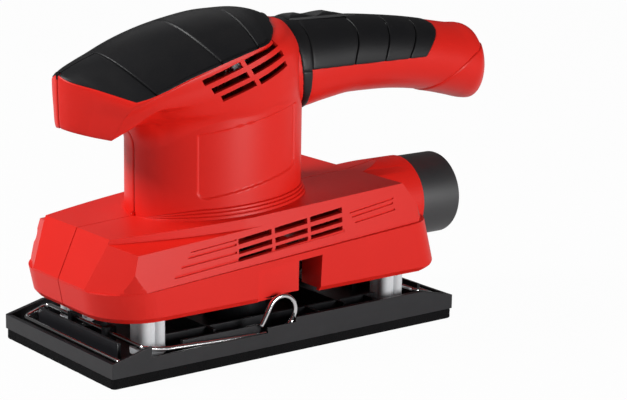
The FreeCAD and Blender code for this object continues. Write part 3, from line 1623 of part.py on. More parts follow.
def build():
    make_foam_pad()
    make_base_plate()
    make_clamps()
    make_posts()
    make_post_screws()
    make_bearing("plate_bearing", False)
    make_bearing("lower_bearing", True)
    make_bearing("upper_bearing", True)
    make_bearing_clip()
    make_eccentric_weight()
    make_cooling_fan()
    make_motor_shaft()
    make_armature_core()
    make_armature_winding()
    make_commutator()
    make_stator()
    make_brush_gear()
    make_base_shells()
    make_body_pieces()
    make_switch_slider()
    make_switch_body()
    make_capacitor()
    make_cord_clamp()
    make_cord_gland()
    make_dust_port()
    make_housing_screws()


def check_and_write():
    doc.recompute()
    for thing in doc.Objects:
        if "Invalid" in thing.State or "Error" in thing.State:
            raise RuntimeError("%s failed: %s" % (thing.Label, thing.State))
    for node in NODES:
        shape = node.Shape
        if shape.isNull() or not shape.isValid() or not shape.Solids:
            raise RuntimeError("%s has no valid solid" % node.Label)
    os.makedirs("parts", exist_ok=True)
    for node in NODES:
        node.Shape.exportStep("parts/%s.step" % node.Label)
        print(node.Label, len(node.Shape.Solids), round(node.Shape.Volume, 1))


build()
check_and_write()
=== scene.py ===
import json

import bmesh
import bpy
import numpy as np
from mathutils import Matrix, Vector


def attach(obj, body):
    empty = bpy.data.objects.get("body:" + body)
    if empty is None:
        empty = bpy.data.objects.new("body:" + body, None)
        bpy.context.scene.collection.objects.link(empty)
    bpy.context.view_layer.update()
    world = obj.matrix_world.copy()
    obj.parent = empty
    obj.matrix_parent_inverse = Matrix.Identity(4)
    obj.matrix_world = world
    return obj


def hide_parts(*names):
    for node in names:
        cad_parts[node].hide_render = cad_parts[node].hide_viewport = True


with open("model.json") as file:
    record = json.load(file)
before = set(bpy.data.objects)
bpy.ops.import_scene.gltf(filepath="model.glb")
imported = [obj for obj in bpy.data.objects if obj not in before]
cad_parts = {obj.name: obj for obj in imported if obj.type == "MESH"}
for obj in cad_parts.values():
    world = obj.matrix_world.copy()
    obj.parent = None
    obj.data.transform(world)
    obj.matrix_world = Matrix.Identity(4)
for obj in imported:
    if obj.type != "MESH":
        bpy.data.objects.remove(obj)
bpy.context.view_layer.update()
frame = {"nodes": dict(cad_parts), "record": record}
MM = 0.001

# ---- Foam pad -----------------------------------------------------------------------------------
# A slab of closed-cell foam glued under the plate, which the abrasive sheet wraps. Its sides are cut,
# so they are slightly wavy and show the open cells; eight dust holes go through it.
PLATE_HALF_LENGTH, PLATE_HALF_WIDTH, PAD_THICKNESS = 93.5, 45.0, 4.6
DUST_HOLE_RADIUS, DUST_HOLE_X, DUST_HOLE_Y = 4.5, (-50, -22, 22, 50), (-24, 24)
DRILL_LOW, DRILL_HIGH = -2, 8
PAD_CORNER = 2.0
PAD_LAYERS = np.array([  # inset from the outline, height
    (1.0, 0.0), (0.4, 0.1), (0.12, 0.45), (0.05, 1.1), (0.12, 2.3), (0.06, 3.5), (0.15, 4.3),
    (0.4, PAD_THICKNESS)])
PAD_WAVE, WAVE_SEED = 0.07, 4
FOAM_BLACK = (0.0060, 0.0060, 0.0066, 1)
# Patches on a surface: scale and detail of their noise, then its values where they start and are full.
BROAD_PATCHES, FINE_DETAIL = (38.0, 3.0), 2.0
RUBBED_PATCHES, STANDS_OUT = (160.0, 4.0, 0.35, 0.7), (0.53, 0.62)
DUST_PATCHES, LOOKS_UP = (90.0, 5.0, 0.4, 0.75), (-0.2, 1.0)
DUST_GREY = (0.30, 0.24, 0.20, 1)
BUMP_DEPTH = 0.0003
PALER, PALER_BY = 1.5, 0.03
FLAT_WEIGHT = 80  # above 50, a large face has more say in the shading of the rounded edges beside it
SAME_POINT, NO_LENGTH = 2e-6, 1e-7  # metres


def rounded_outline(half_x, half_y, radius, steps):
    """Closed outline of a rectangle with round corners: four quarter circles whose centres sit one radius
    inside the corners, joined by straight runs and sampled at even lengths."""
    in_a_corner = 9
    quarter = np.arange(4)[:, None]
    turn = (quarter * 0.5 * np.pi + np.linspace(0, 0.5 * np.pi, in_a_corner)).ravel()
    side = np.array([(1, 1), (-1, 1), (-1, -1), (1, -1)]).repeat(in_a_corner, axis=0)
    points = side * (half_x - radius, half_y - radius) + radius * np.stack([np.cos(turn), np.sin(turn)], 1)
    points = np.concatenate([points, points[:1]])
    length = np.concatenate([[0], np.cumsum(np.linalg.norm(np.diff(points, axis=0), axis=1))])
    at = np.linspace(0, length[-1], steps, endpoint=False)
    return np.stack([np.interp(at, length, points[:, i]) for i in (0, 1)], 1)


def grid_faces(rows, columns, wrap=False):
    """Quads of a grid of points, row by row; wrap joins the last column to the first."""
    i, j = np.meshgrid(np.arange(rows - 1), np.arange(columns - (not wrap)), indexing="ij")
    after = (j + 1) % columns
    row, next_row = i * columns, (i + 1) * columns
    quads = np.stack([row + j, row + after, next_row + after, next_row + j], -1)
    return quads.reshape(-1, 4).tolist()


def new_piece(name, points, faces):
    """One mesh object from points in millimetres, its doubled points merged and its faces turned out."""
    mesh = bpy.data.meshes.new(name)
    mesh.from_pydata((np.asarray(points).reshape(-1, 3) * MM).tolist(), [], faces)
    shape = bmesh.new()
    shape.from_mesh(mesh)
    bmesh.ops.remove_doubles(shape, verts=shape.verts, dist=SAME_POINT)
    bmesh.ops.dissolve_degenerate(shape, edges=shape.edges, dist=NO_LENGTH)
    bmesh.ops.recalc_face_normals(shape, faces=shape.faces)
    shape.to_mesh(mesh)
    shape.free()
    mesh.polygons.foreach_set("use_smooth", np.ones(len(mesh.polygons), bool))
    piece = bpy.data.objects.new(name, mesh)
    bpy.context.scene.collection.objects.link(piece)
    return piece


def lofted(name, rings):
    """A closed piece from a stack of closed rings of points, with a flat face on the first and last ring."""
    rows, columns = rings.shape[:2]
    ends = [list(range(columns)), list(range((rows - 1) * columns, rows * columns))]
    return new_piece(name, rings, grid_faces(rows, columns, wrap=True) + ends)


def round_bars(name, places, radius, low, high):
    """Upright round bars: one circle of points per place and level, each closed by flat ends."""
    sides = 28
    turn = np.linspace(0, 2 * np.pi, sides, endpoint=False)
    ring = np.stack([radius * np.cos(turn), radius * np.sin(turn), np.zeros(sides)], 1)
    points, faces = [], []
    for number, (x, y) in enumerate(places):
        points += [ring + (x, y, low), ring + (x, y, high)]
        start = number * 2 * sides
        faces += [[start + k for k in quad] for quad in grid_faces(2, sides, wrap=True)]
        faces += [list(range(start, start + sides)), list(range(start + sides, start + 2 * sides))]
    return new_piece(name, np.concatenate(points), faces)


def made(piece):
    """Replace the piece's mesh by what its modifiers make of it."""
    mesh = bpy.data.meshes.new_from_object(piece.evaluated_get(bpy.context.evaluated_depsgraph_get()))
    piece.modifiers.clear()
    piece.data = mesh
    return piece


def carve(piece, cutter):
    """Take the cutter's volume out of the piece, then remove the cutter."""
    cut = piece.modifiers.new("cut", "BOOLEAN")
    cut.object, cut.operation, cut.solver = cutter, "DIFFERENCE", "EXACT"
    made(piece)
    bpy.data.objects.remove(cutter)


def crease(piece, degrees, weighted=False):
    """Shade the piece smooth, apart from edges sharper than the angle; weighted keeps its flats flat."""
    piece.data.polygons.foreach_set("use_smooth", np.ones(len(piece.data.polygons), bool))
    piece.data.set_sharp_from_angle(angle=np.radians(degrees))
    if weighted:
        flat = piece.modifiers.new("flats", "WEIGHTED_NORMAL")
        flat.keep_sharp, flat.weight = True, FLAT_WEIGHT
    return piece


def put(tree, kind, inputs=(), **settings):
    """Place a node; inputs are values or sockets by name or number, settings are the node's own choices."""
    node = tree.nodes.new(kind)
    for key, value in settings.items():
        setattr(node, key, value)
    for key, value in dict(inputs).items():
        if isinstance(value, bpy.types.NodeSocket):
            tree.links.new(value, node.inputs[key])
        else:
            node.inputs[key].default_value = value
    return node


def maths(tree, operation, *values, clamp=False):
    """Output of one sum node on values or sockets."""
    node = put(tree, "ShaderNodeMath", dict(enumerate(values)), operation=operation, use_clamp=clamp)
    return node.outputs[0]


def between(tree, value, low, high):
    """Nought below the low value, one above the high one and a straight line between."""
    return put(tree, "ShaderNodeMapRange", {"Value": value, "From Min": low, "From Max": high}).outputs[0]


def noise(tree, scale, detail):
    """A noise of a scale and detail at the place on the piece."""
    place = put(tree, "ShaderNodeTexCoord").outputs["Object"]
    return put(tree, "ShaderNodeTexNoise", {"Vector": place, "Scale": scale, "Detail": detail}).outputs["Fac"]


def effect(name, inputs, outputs):
    """An empty node group with named inputs (with their usual values) and outputs."""
    group = bpy.data.node_groups.new(name, "ShaderNodeTree")

    def socket(label, way):
        kind = "NodeSocketColor" if label == "Colour" else "NodeSocketFloat"
        return group.interface.new_socket(label, in_out=way, socket_type=kind)

    for label, value in inputs.items():
        socket(label, "INPUT").default_value = value
    for label in outputs:
        socket(label, "OUTPUT")
    return group, group.nodes.new("NodeGroupInput").outputs, group.nodes.new("NodeGroupOutput").inputs


def surface_effect():
    """Grain, shade and gloss of a real surface. Shade: the colour times one plus the spread times a broad and
    a fine noise. Gloss: the roughness plus a share of both. Height: fine noise with the pits of cells."""
    usual = {"Colour": (0.5, 0.5, 0.5, 1), "Spread": 0.08, "Grain Scale": 1800.0, "Pits": 0.3,
             "Roughness": 0.4, "Gloss Spread": 0.08}
    group, given, result = effect("surface_grain", usual, ("Colour", "Roughness", "Height"))
    place = put(group, "ShaderNodeTexCoord").outputs["Object"]
    pattern = {"Vector": place, "Scale": given["Grain Scale"]}
    cells = put(group, "ShaderNodeTexVoronoi", pattern).outputs["Distance"]
    broad, fine = noise(group, *BROAD_PATCHES), noise(group, given["Grain Scale"], FINE_DETAIL)
    centred = maths(group, "SUBTRACT", maths(group, "ADD", broad, fine), 1.0)
    shade = maths(group, "MULTIPLY_ADD", centred, given["Spread"], 1.0)
    tinted = put(group, "ShaderNodeVectorMath", {0: given["Colour"], "Scale": shade}, operation="SCALE")
    group.links.new(tinted.outputs[0], result["Colour"])
    gloss = maths(group, "MULTIPLY_ADD", centred, given["Gloss Spread"], given["Roughness"])
    group.links.new(gloss, result["Roughness"])
    group.links.new(maths(group, "MULTIPLY_ADD", cells, given["Pits"], fine), result["Height"])
    return group


def mask_effect(name, usual, mask_of):
    """A node group for a mask: the product of the two values that mask_of gives, times an amount."""
    group, given, result = effect(name, {"Amount": usual}, ("Mask",))
    mask = maths(group, "MULTIPLY", *mask_of(group))
    group.links.new(maths(group, "MULTIPLY", mask, given["Amount"], clamp=True), result["Mask"])
    return group


def patches(group, scale, detail, start, full):
    """Nought where a noise lies below its start, and one where it is full."""
    return between(group, noise(group, scale, detail), start, full)


def rubbed_places(group):
    """Edges, as the places where the surface stands out, and patches."""
    stands_out = put(group, "ShaderNodeNewGeometry").outputs["Pointiness"]
    return between(group, stands_out, *STANDS_OUT), patches(group, *RUBBED_PATCHES)


def dusty_places(group):
    """Faces that look up, and patches."""
    normal = put(group, "ShaderNodeNewGeometry").outputs["Normal"]
    upward = put(group, "ShaderNodeSeparateXYZ", {0: normal}).outputs["Z"]
    return between(group, upward, *LOOKS_UP), patches(group, *DUST_PATCHES)


SURFACE_GRAIN = surface_effect()
RUBBED_EDGES = mask_effect("rubbed_edges", 0.3, rubbed_places)
FINE_DUST = mask_effect("fine_dust", 0.1, dusty_places)


def finish_of(name, colour, rough, spread, grain=1800.0, pits=0.3, relief=0.12, worn=None, wear=0.25,
              dust=0.05, metal=0.0, specular=0.5):
    """One material: the colour with its grain, rubbed edges (paler, if no worn colour is given) and fine
    dust, and a bump from the grain."""
    material = bpy.data.materials.new(name)
    material.use_nodes = True
    tree = material.node_tree
    shader = tree.nodes["Principled BSDF"]
    chosen = {"Colour": colour, "Spread": spread, "Grain Scale": grain, "Pits": pits, "Roughness": rough}
    surface = put(tree, "ShaderNodeGroup", chosen, node_tree=SURFACE_GRAIN).outputs
    edges = put(tree, "ShaderNodeGroup", {"Amount": wear}, node_tree=RUBBED_EDGES).outputs["Mask"]
    dusty = put(tree, "ShaderNodeGroup", {"Amount": dust}, node_tree=FINE_DUST).outputs["Mask"]
    worn = worn or tuple(min(1, PALER * c + PALER_BY) for c in colour[:3]) + (1,)
    rubbed = put(tree, "ShaderNodeMix", {0: edges, 6: surface["Colour"], 7: worn}, data_type="RGBA")
    dusted = put(tree, "ShaderNodeMix", {0: dusty, 6: rubbed.outputs[2], 7: DUST_GREY}, data_type="RGBA")
    bump_inputs = {"Height": surface["Height"], "Strength": relief, "Distance": BUMP_DEPTH}
    tree.links.new(dusted.outputs[2], shader.inputs["Base Color"])
    tree.links.new(surface["Roughness"], shader.inputs["Roughness"])
    tree.links.new(put(tree, "ShaderNodeBump", bump_inputs).outputs["Normal"], shader.inputs["Normal"])
    shader.inputs["Metallic"].default_value = metal
    shader.inputs["Specular IOR Level"].default_value = specular
    return material


def wear_material(piece, material):
    """Give every slot of a piece one material."""
    if not piece.data.materials:
        piece.data.materials.append(material)
    for held in piece.material_slots:
        held.link = "OBJECT"
        held.material = material


def pad_rings():
    """Side of the pad: the plate's outline drawn in by each layer's inset and by a wave that the saw left."""
    steps = 760
    outline = rounded_outline(PLATE_HALF_LENGTH, PLATE_HALF_WIDTH, PAD_CORNER, steps)
    away = outline / np.linalg.norm(outline, axis=1)[:, None]
    wave = PAD_WAVE * np.random.default_rng(WAVE_SEED).normal(size=(len(PAD_LAYERS), steps))
    wave = (wave + np.roll(wave, 1, axis=1) + np.roll(wave, 2, axis=1)) / 2
    inset = PAD_LAYERS[:, :1] + np.abs(wave)
    flat = outline[None] - away[None] * inset[..., None]
    level = np.broadcast_to(PAD_LAYERS[:, 1, None, None], flat.shape[:2] + (1,))
    return np.concatenate([flat, level], 2)


foam_pad = lofted("foam_pad_cut", pad_rings())
hole_places = [(x, y) for x in DUST_HOLE_X for y in DUST_HOLE_Y]
carve(foam_pad, round_bars("pad_holes", hole_places, DUST_HOLE_RADIUS, DRILL_LOW, DRILL_HIGH))
crease(foam_pad, 50)
wear_material(foam_pad, finish_of("closed_cell_foam", FOAM_BLACK, 0.93, spread=0.85, grain=1500.0, pits=1.1,
                                  relief=0.9, wear=0.1, dust=0.015, specular=0.12))
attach(foam_pad, "plate")
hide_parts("foam_pad")

# ---- Sanding plate ------------------------------------------------------------------------------
# The moulded tray that carries the pad: end walls, long troughs for the clamps, ribs and a bearing hub.
# Black glass-filled plastic in one shot, so its edges are softened by the mould and lightly rubbed.
MOULD_RADIUS = 0.35
SHARP_EDGE, SHORTEST_EDGE = 28.0, 1.6
FLAT_WITHIN = 0.3  # degrees
SMALLEST_FACE, ON_MIDDLE = 1.5e-6, 2e-5  # square metres, metres
PLATE_BLACK = (0.0120, 0.0120, 0.0142, 1)


def softened(node, name, radius, sharp=SHARP_EDGE, shortest=SHORTEST_EDGE, seam=0.0, smooth=32):
    """A piece that stands for a node: its triangles joined into whole faces, and each edge sharper than the
    angle and longer than the shortest length rounded by a small bevel. A seam draws the flat mating face of
    a half shell back from the centre line, and smooth is the angle up to which faces share their shading."""
    shape = bmesh.new()
    shape.from_mesh(frame["nodes"][node].data)
    bmesh.ops.remove_doubles(shape, verts=shape.verts, dist=SAME_POINT)
    bmesh.ops.dissolve_limit(shape, angle_limit=np.radians(FLAT_WITHIN), verts=shape.verts, edges=shape.edges)
    bmesh.ops.recalc_face_normals(shape, faces=shape.faces)
    side = np.sign(sum(v.co.y for v in shape.verts))
    for vertex in shape.verts:
        if seam and abs(vertex.co.y) < ON_MIDDLE:
            vertex.co.y = side * seam * MM
    chosen = [e for e in shape.edges if len(e.link_faces) == 2 and e.calc_length() > shortest * MM
              and e.calc_face_angle(0) > np.radians(sharp)
              and min(f.calc_area() for f in e.link_faces) > SMALLEST_FACE]
    bmesh.ops.bevel(shape, geom=chosen, offset=radius * MM, segments=2, profile=0.5, affect="EDGES",
                    clamp_overlap=True)
    mesh = bpy.data.meshes.new(name)
    shape.to_mesh(mesh)
    shape.free()
    piece = bpy.data.objects.new(name, mesh)
    bpy.context.scene.collection.objects.link(piece)
    return stand_for(crease(piece, smooth, weighted=True), node)


def stand_for(piece, node):
    """The piece rides with its node's body and hides the node."""
    bodies = frame["record"]["behaviour"]["bodies"]
    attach(piece, next(body for body, held in bodies.items() if node in held))
    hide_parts(node)
    return piece


plate_plastic = finish_of("plate_plastic", PLATE_BLACK, 0.36, spread=0.16, grain=1400.0, relief=0.10,
                          wear=0.20, dust=0.015, specular=0.36)
sanding_plate = softened("base_plate", "sanding_plate", MOULD_RADIUS)
wear_material(sanding_plate, plate_plastic)

# ---- Support posts ------------------------------------------------------------------------------
# Four elastic legs between plate and base, moulded in pale grey rubber with four lobes and two flanges,
# so they bend a little as the plate orbits. Each is held by one screw at either end.
POST_GREY = (0.74, 0.76, 0.78, 1)
SCREW_STEEL = (0.42, 0.42, 0.43, 1)

post_rubber = finish_of("post_rubber", POST_GREY, 0.5, spread=0.10, grain=900.0, relief=0.06, wear=0.0,
                        dust=0.10)
posts = softened("support_posts", "elastic_posts", 0.3, sharp=50, shortest=0.8)
crease(posts, 55)
wear_material(posts, post_rubber)
screw_steel = finish_of("screw_steel", SCREW_STEEL, 0.34, spread=0.15, grain=2600.0, relief=0.08, metal=1.0,
                        dust=0.02)
for name in ("post_screws_lower", "post_screws_upper"):
    wear_material(frame["nodes"][name], screw_steel)

# ---- Wire clamps --------------------------------------------------------------------------------
# One bent wire at each end: a bar that presses the sheet into the trough, a stretch through two lugs and a
# long lever with a finger loop. Bright zinc-plated spring steel, bent cold from one length.
CLAMP_STEEL = (0.74, 0.74, 0.75, 1)
WIRE_RADIUS = 1.1
WIRE_BEND = 2.6
BEND_REACH, MOST_OF_A_RUN = 1.2, 0.48  # shares: of the bend's radius, and of a straight run
ANY_SIDE = (0.31, 0.42, 0.85)  # a way that the wire never takes
PIVOT_X, PIVOT_Z = -76.0, 14.5
BAR_X, BAR_Z, SPAN, BAR_PAST_LUG = -88.0, 10.5, 38.0, 3.0
CRANK_RUN, CRANK_RISE = 11.0, 2.6
LEVER_Y, LEVER_X, LEVER_Z = -42.3, -13.0, 9.8
LOOP_X, LOOP_RADIUS, LOOP_LEG, LOOP_LIFT = -4.5, 7.3, 9.0, 1.5
LOOP_START, LOOP_END = np.radians(-80), np.radians(150)
BEND_STEPS, WIRE_SIDES, DOME_STEPS, LOOP_STEPS, DOME_HOLE = 9, 20, 5, 40, 0.12


def rounded_route(corners, radius):
    """A route through corners, each replaced by the arc of a parabola that starts and ends one reach of the
    bend, or just under half a run, before and after it."""
    corners = np.asarray(corners, float)
    runs = np.diff(corners, axis=0)
    length = np.linalg.norm(runs, axis=1)
    along = runs / length[:, None]
    cut = np.minimum(radius * BEND_REACH, MOST_OF_A_RUN * np.minimum(length[:-1], length[1:]))[:, None]
    before, after = corners[1:-1] - along[:-1] * cut, corners[1:-1] + along[1:] * cut
    share = np.linspace(0, 1, BEND_STEPS)[None, :, None]
    middle = 2 * share * (1 - share) * corners[1:-1, None]
    arcs = (1 - share) ** 2 * before[:, None] + middle + share ** 2 * after[:, None]
    return np.concatenate([corners[:1], arcs.reshape(-1, 3), corners[-1:]])


def wire_along(name, route, radius):
    """A round wire: circles in the plane across the route, whose side axis is carried from point to point by
    taking out its share along the route, with a domed end on either side."""
    route = np.asarray(route, float)
    along = np.gradient(route, axis=0)
    along /= np.linalg.norm(along, axis=1)[:, None]
    side = np.zeros_like(along)
    last = np.array(ANY_SIDE)
    for number, way in enumerate(along):
        last = last - way * (last @ way)
        last /= np.linalg.norm(last)
        side[number] = last
    other = np.cross(along, side)
    turn = np.linspace(0, 2 * np.pi, WIRE_SIDES, endpoint=False)[None, :, None]
    circle = side[:, None] * np.cos(turn) + other[:, None] * np.sin(turn)
    tube = route[:, None] + radius * circle
    tilt = np.linspace(0.5 * np.pi, DOME_HOLE, DOME_STEPS)[1:, None, None]
    ends = []
    for at, way, order in ((0, -along[0], -1), (-1, along[-1], 1)):
        dome = route[at] + radius * (np.sin(tilt) * circle[at] + np.cos(tilt) * way)
        ends.append(dome[::order])
    return lofted(name, np.concatenate([ends[0], tube, ends[1]]))


def clamp_route():
    """Bar, climb to the pivot, long lever and, from its low end, most of a circle with a straight leg."""
    middle = np.array([LOOP_X, LEVER_Y, LEVER_Z + LOOP_LIFT - LOOP_RADIUS * np.sin(LOOP_START)])
    turn = np.linspace(LOOP_START, LOOP_END, LOOP_STEPS)
    loop = middle + LOOP_RADIUS * np.stack([np.cos(turn), np.zeros(LOOP_STEPS), np.sin(turn)], 1)
    leg = loop[-1] + LOOP_LEG * np.array([-np.sin(LOOP_END), 0, np.cos(LOOP_END)])
    corners = [(BAR_X, -SPAN - BAR_PAST_LUG, BAR_Z), (BAR_X, SPAN, BAR_Z), (PIVOT_X, SPAN, PIVOT_Z),
               (PIVOT_X, LEVER_Y, PIVOT_Z), (PIVOT_X + CRANK_RUN, LEVER_Y, LEVER_Z + CRANK_RISE),
               (LEVER_X, LEVER_Y, LEVER_Z), tuple(loop[0])]
    return np.concatenate([rounded_route(corners, WIRE_BEND), loop[1:], [leg]])


bright_wire = finish_of("bright_wire", CLAMP_STEEL, 0.17, spread=0.10, grain=3000.0, relief=0.05, metal=1.0,
                        wear=0.0, dust=0.01)
for node, half_turn in (("front_clamp", (1, 1, 1)), ("rear_clamp", (-1, -1, 1))):
    clamp = wire_along("wire_" + node, clamp_route() * half_turn, WIRE_RADIUS)
    wear_material(stand_for(clamp, node), bright_wire)

# ---- Drive and motor ----------------------------------------------------------------------------
# The shaft runs in two ball bearings; below them it carries the fan, the counterweight and, off its centre,
# the plate's bearing. Ground and stamped steel, laminated cores, copper windings and a dark plastic fan.
BEARING_STEEL = (0.55, 0.55, 0.56, 1)
# The laminated cores are coloured darker than their bare steel. This is painted shade, for the dark inside of
# the housing seen through the head's slots.
SHADE_DARKENED_CORE_STEEL = (0.045, 0.042, 0.040, 1)
COPPER = (0.60, 0.22, 0.10, 1)
BRASS = (0.62, 0.45, 0.18, 1)
CARBON = (0.016, 0.016, 0.017, 1)
FAN_BLACK = (0.020, 0.020, 0.022, 1)

ground_steel = finish_of("ground_steel", BEARING_STEEL, 0.22, spread=0.08, grain=2500.0, relief=0.04,
                         metal=1.0, dust=0.02)
shade_darkened_core_steel = finish_of("shade_darkened_core_steel", SHADE_DARKENED_CORE_STEEL, 0.5, spread=0.25, grain=1600.0, relief=0.25, metal=0.3)
wound_copper = finish_of("wound_copper", COPPER, 0.38, spread=0.35, grain=1100.0, relief=0.8, metal=0.9,
                         dust=0.03)
turned_brass = finish_of("turned_brass", BRASS, 0.3, spread=0.12, grain=2200.0, relief=0.08, metal=1.0)
pressed_carbon = finish_of("pressed_carbon", CARBON, 0.7, spread=0.3, grain=1800.0, relief=0.3)
fan_plastic = finish_of("fan_plastic", FAN_BLACK, 0.45, spread=0.15, relief=0.08, dust=0.12)
bearings = [place + "_bearing_" + part for place in ("plate", "lower", "upper")
            for part in ("outer", "inner", "balls")]
inner_finishes = {
    ground_steel: (*bearings, "bearing_clip", "motor_shaft", "eccentric_weight", "brush_springs"),
    shade_darkened_core_steel: ("armature_core", "stator_core"),
    wound_copper: ("armature_winding", "field_coils", "commutator"),
    turned_brass: ("brush_holders",),
    pressed_carbon: ("carbon_brushes",),
    fan_plastic: ("cooling_fan",),
}
for material, names in inner_finishes.items():
    for name in names:
        wear_material(frame["nodes"][name], material)

# ---- Base shells --------------------------------------------------------------------------------
# Two halves of the lower housing that meet on the centre line, with facets at the nose, a terrace round
# the column, rows of slots and a recess for the clamp lever. Red ABS, satin from the mould.
SHELL_RED = (0.78, 0.017, 0.010, 1)
SHELL_WORN = (0.84, 0.06, 0.04, 1)
SHELL_EDGE = 0.35
SHELL_SEAM = 0.26

red_plastic = finish_of("red_plastic", SHELL_RED, 0.40, spread=0.06, grain=1900.0, relief=0.05,
                        worn=SHELL_WORN, wear=0.16, dust=0.01, specular=0.25)
for side in ("left", "right"):
    base = softened("base_shell_" + side, "base_half_" + side, SHELL_EDGE, sharp=20, shortest=2.0,
                    seam=SHELL_SEAM, smooth=12)
    wear_material(base, red_plastic)

# ---- Dust tube ----------------------------------------------------------------------------------
# A short tube pushed into the rear of the base, on which a dust bag or a hose cuff fits. Turned-looking
# black plastic with a matt face and a slightly shinier rim.
TUBE_BLACK = (0.021, 0.021, 0.023, 1)

tube_plastic = finish_of("tube_plastic", TUBE_BLACK, 0.46, spread=0.14, grain=1600.0, relief=0.14, dust=0.03,
                         specular=0.8)
dust_tube = softened("dust_port", "dust_tube", 0.5, shortest=1.0)
wear_material(dust_tube, tube_plastic)

# ---- Body shells --------------------------------------------------------------------------------
# Two mirrored halves of red plastic that hold the motor: an oval column on a stepped foot, which swells into
# the boat-shaped head with a finger lip in front. They meet on the centre line in a fine open seam.
COLUMN_MIDDLE, COLUMN_HALF_LENGTH, COLUMN_HALF_WIDTH = -12.0, 42.2, 33.2
DECK_HEIGHT, DECK_START, DECK_SLOPE = 60.4, -56.5, 0.055
FOOT_STEPS = np.array([  # outwards, above the deck
    (2.1, -1.6), (2.1, 1.02), (1.95, 1.22), (1.7, 1.3), (0.95, 1.28), (0.95, 1.6), (1.28, 1.63),
    (1.4, 1.75), (1.4, 2.42), (1.28, 2.62), (1.0, 2.7), (0.25, 2.68), (0.25, 3.0), (0.58, 3.03),
    (0.7, 3.15), (0.7, 3.82), (0.58, 4.02), (0.3, 4.1), (-0.45, 4.08), (-0.45, 4.4), (-0.12, 4.43),
    (0.0, 4.55)])
FOOT_FADE = 0.5  # radians: towards the centre line in front the steps run out
BODY_WALL = 1.5
SEAM_GAP, SEAM_ROUND, SEAM_WIDTH = 0.26, 0.5, 0.5
LIP_CORNER, SMOOTH_LINES = 3, 2  # place of the upright corner beside the lip, lines above that stay smooth
COLUMN_TURN = np.radians((0, 5, 14, 24, 32, 40, 54, 70, 90, 108, 127, 147, 165, 180))
COLUMN_TOP = np.array((90, 90, 90.5, 91.5, 93.5, 96.5, 101.3, 104, 105.6, 108, 107, 103.5, 100, 98.5))
# Lines round the half head, front to rear: fillet start, ceiling, inside of the lip, lip edge, widest line,
# last red line and the cap's edge.
HEAD_LINES = np.array([
    [(-57, 0, 98), (-56.8, -3.3, 98), (-55.6, -8.8, 98.2), (-52.8, -14.2, 98.8), (-49, -18.4, 100),
     (-46.3, -22.3, 102), (-36.5, -28.3, 104.3), (-24, -32.3, 106.5), (-12, -33.8, 108.2), (0, -32.5, 110),
     (11.5, -28, 110), (19.8, -21.6, 107.5), (26, -13, 104), (28.2, 0, 102)],
    [(-66, 0, 103.3), (-65.8, -3.6, 103.3), (-64, -9.5, 103.2), (-61.5, -15, 103.8), (-57.5, -20, 105.2),
     (-53.5, -25, 107.3), (-41.5, -30, 107.8), (-27, -33.2, 109.3), (-12, -34.5, 111.3), (1, -33, 113),
     (12.2, -28.2, 113), (19.6, -21.2, 111.5), (24.8, -12, 109), (26.6, 0, 108)],
    [(-87.5, 0, 103.6), (-86.6, -4.2, 103.2), (-81, -10.8, 101.6), (-75.3, -17, 100.4),
     (-67.3, -23.4, 106.6), (-60.8, -28.3, 111.6), (-47.5, -31.9, 112), (-30, -34.3, 113.5),
     (-12, -35.2, 115.5), (1.6, -33.3, 117), (12.6, -28.4, 117.5), (19.3, -21, 117), (23.6, -12, 116),
     (25, 0, 115.5)],
    [(-90.2, 0, 102.6), (-89.2, -4.7, 102.1), (-83.2, -11.9, 100.3), (-77, -18.4, 99), (-69, -25, 105.5),
     (-62.5, -30, 111.3), (-49.5, -33, 113.5), (-31.5, -34.9, 116), (-11.8, -35.7, 118.5), (2, -33.5, 120),
     (12.6, -28.6, 121), (19, -21, 121.5), (23, -12, 121.5), (24.3, 0, 121.5)],
    [(-91.6, 0, 113.5), (-90.4, -5.4, 112.6), (-83, -15, 110.4), (-74.6, -24.6, 108.5),
     (-68, -28.8, 111.8), (-61.8, -31.8, 115.8), (-49.2, -34.2, 119.2), (-32, -35.7, 122.5),
     (-11.6, -36.3, 126.3), (2.6, -33.6, 128.5), (12.2, -28.4, 130), (18.4, -21.6, 131.3), (22, -12, 132),
     (23.4, 0, 132.3)],
    [(-91.75, 0, 124.8), (-90.75, -5.3, 123.3), (-82.3, -17.3, 120), (-71.4, -29.3, 115.6),
     (-66.4, -31.9, 117.2), (-60.4, -33.4, 119.4), (-48.3, -35.1, 124.1), (-32.2, -36.2, 128.6),
     (-11, -35.9, 134.2), (1, -31, 137), (8.6, -24.6, 138.9), (14.2, -16.5, 140.6), (17.8, -8, 142.2),
     (18.5, 0, 142.3)],
    [(-91.5, 0, 125.5), (-90.6, -5, 124.0), (-82, -17, 120.6), (-71, -29, 116.2), (-66, -31.6, 117.8),
     (-60, -33, 120), (-48, -34.8, 124.8), (-32, -36, 130), (-10, -35.4, 136), (0, -27, 138.8),
     (5, -20.4, 140.5), (8.5, -13.5, 141.8), (12.8, -6.5, 142.9), (14.8, 0, 143.2)],
], float)
ROWS_BETWEEN = (9, 6, 22, 6, 11, 13, 4)
COLUMN_ROWS, BODY_SPACING, GHOST_DROP = 74, 0.6, 4
LEAST_FOOT = 0.03  # share of the foot's steps that is left at the centre line
CLOSE_SHARES, CLOSE_END = np.array([0, 0.02, 0.045, 0.08, 0.13]), 0.16  # beside the centre line
LEDGE, LEDGE_MIDDLE = ((0.28, 0.05), (1.0, 0.5)), (-76, 4)  # inwards and down, towards this stretch
COLUMN_INSIDE = (-30, 0, 90)
PANEL_FRONT, PANEL_REAR, PANEL_DEPTH, PANEL_CORNER = -38.3, 13.2, 0.7, 4.0
PANEL_LOW, PANEL_LOW_SLOPE, PANEL_TOP, PANEL_TOP_SLOPE, PANEL_EDGE = 69.8, 0.19, 98.4, 0.185, 0.3
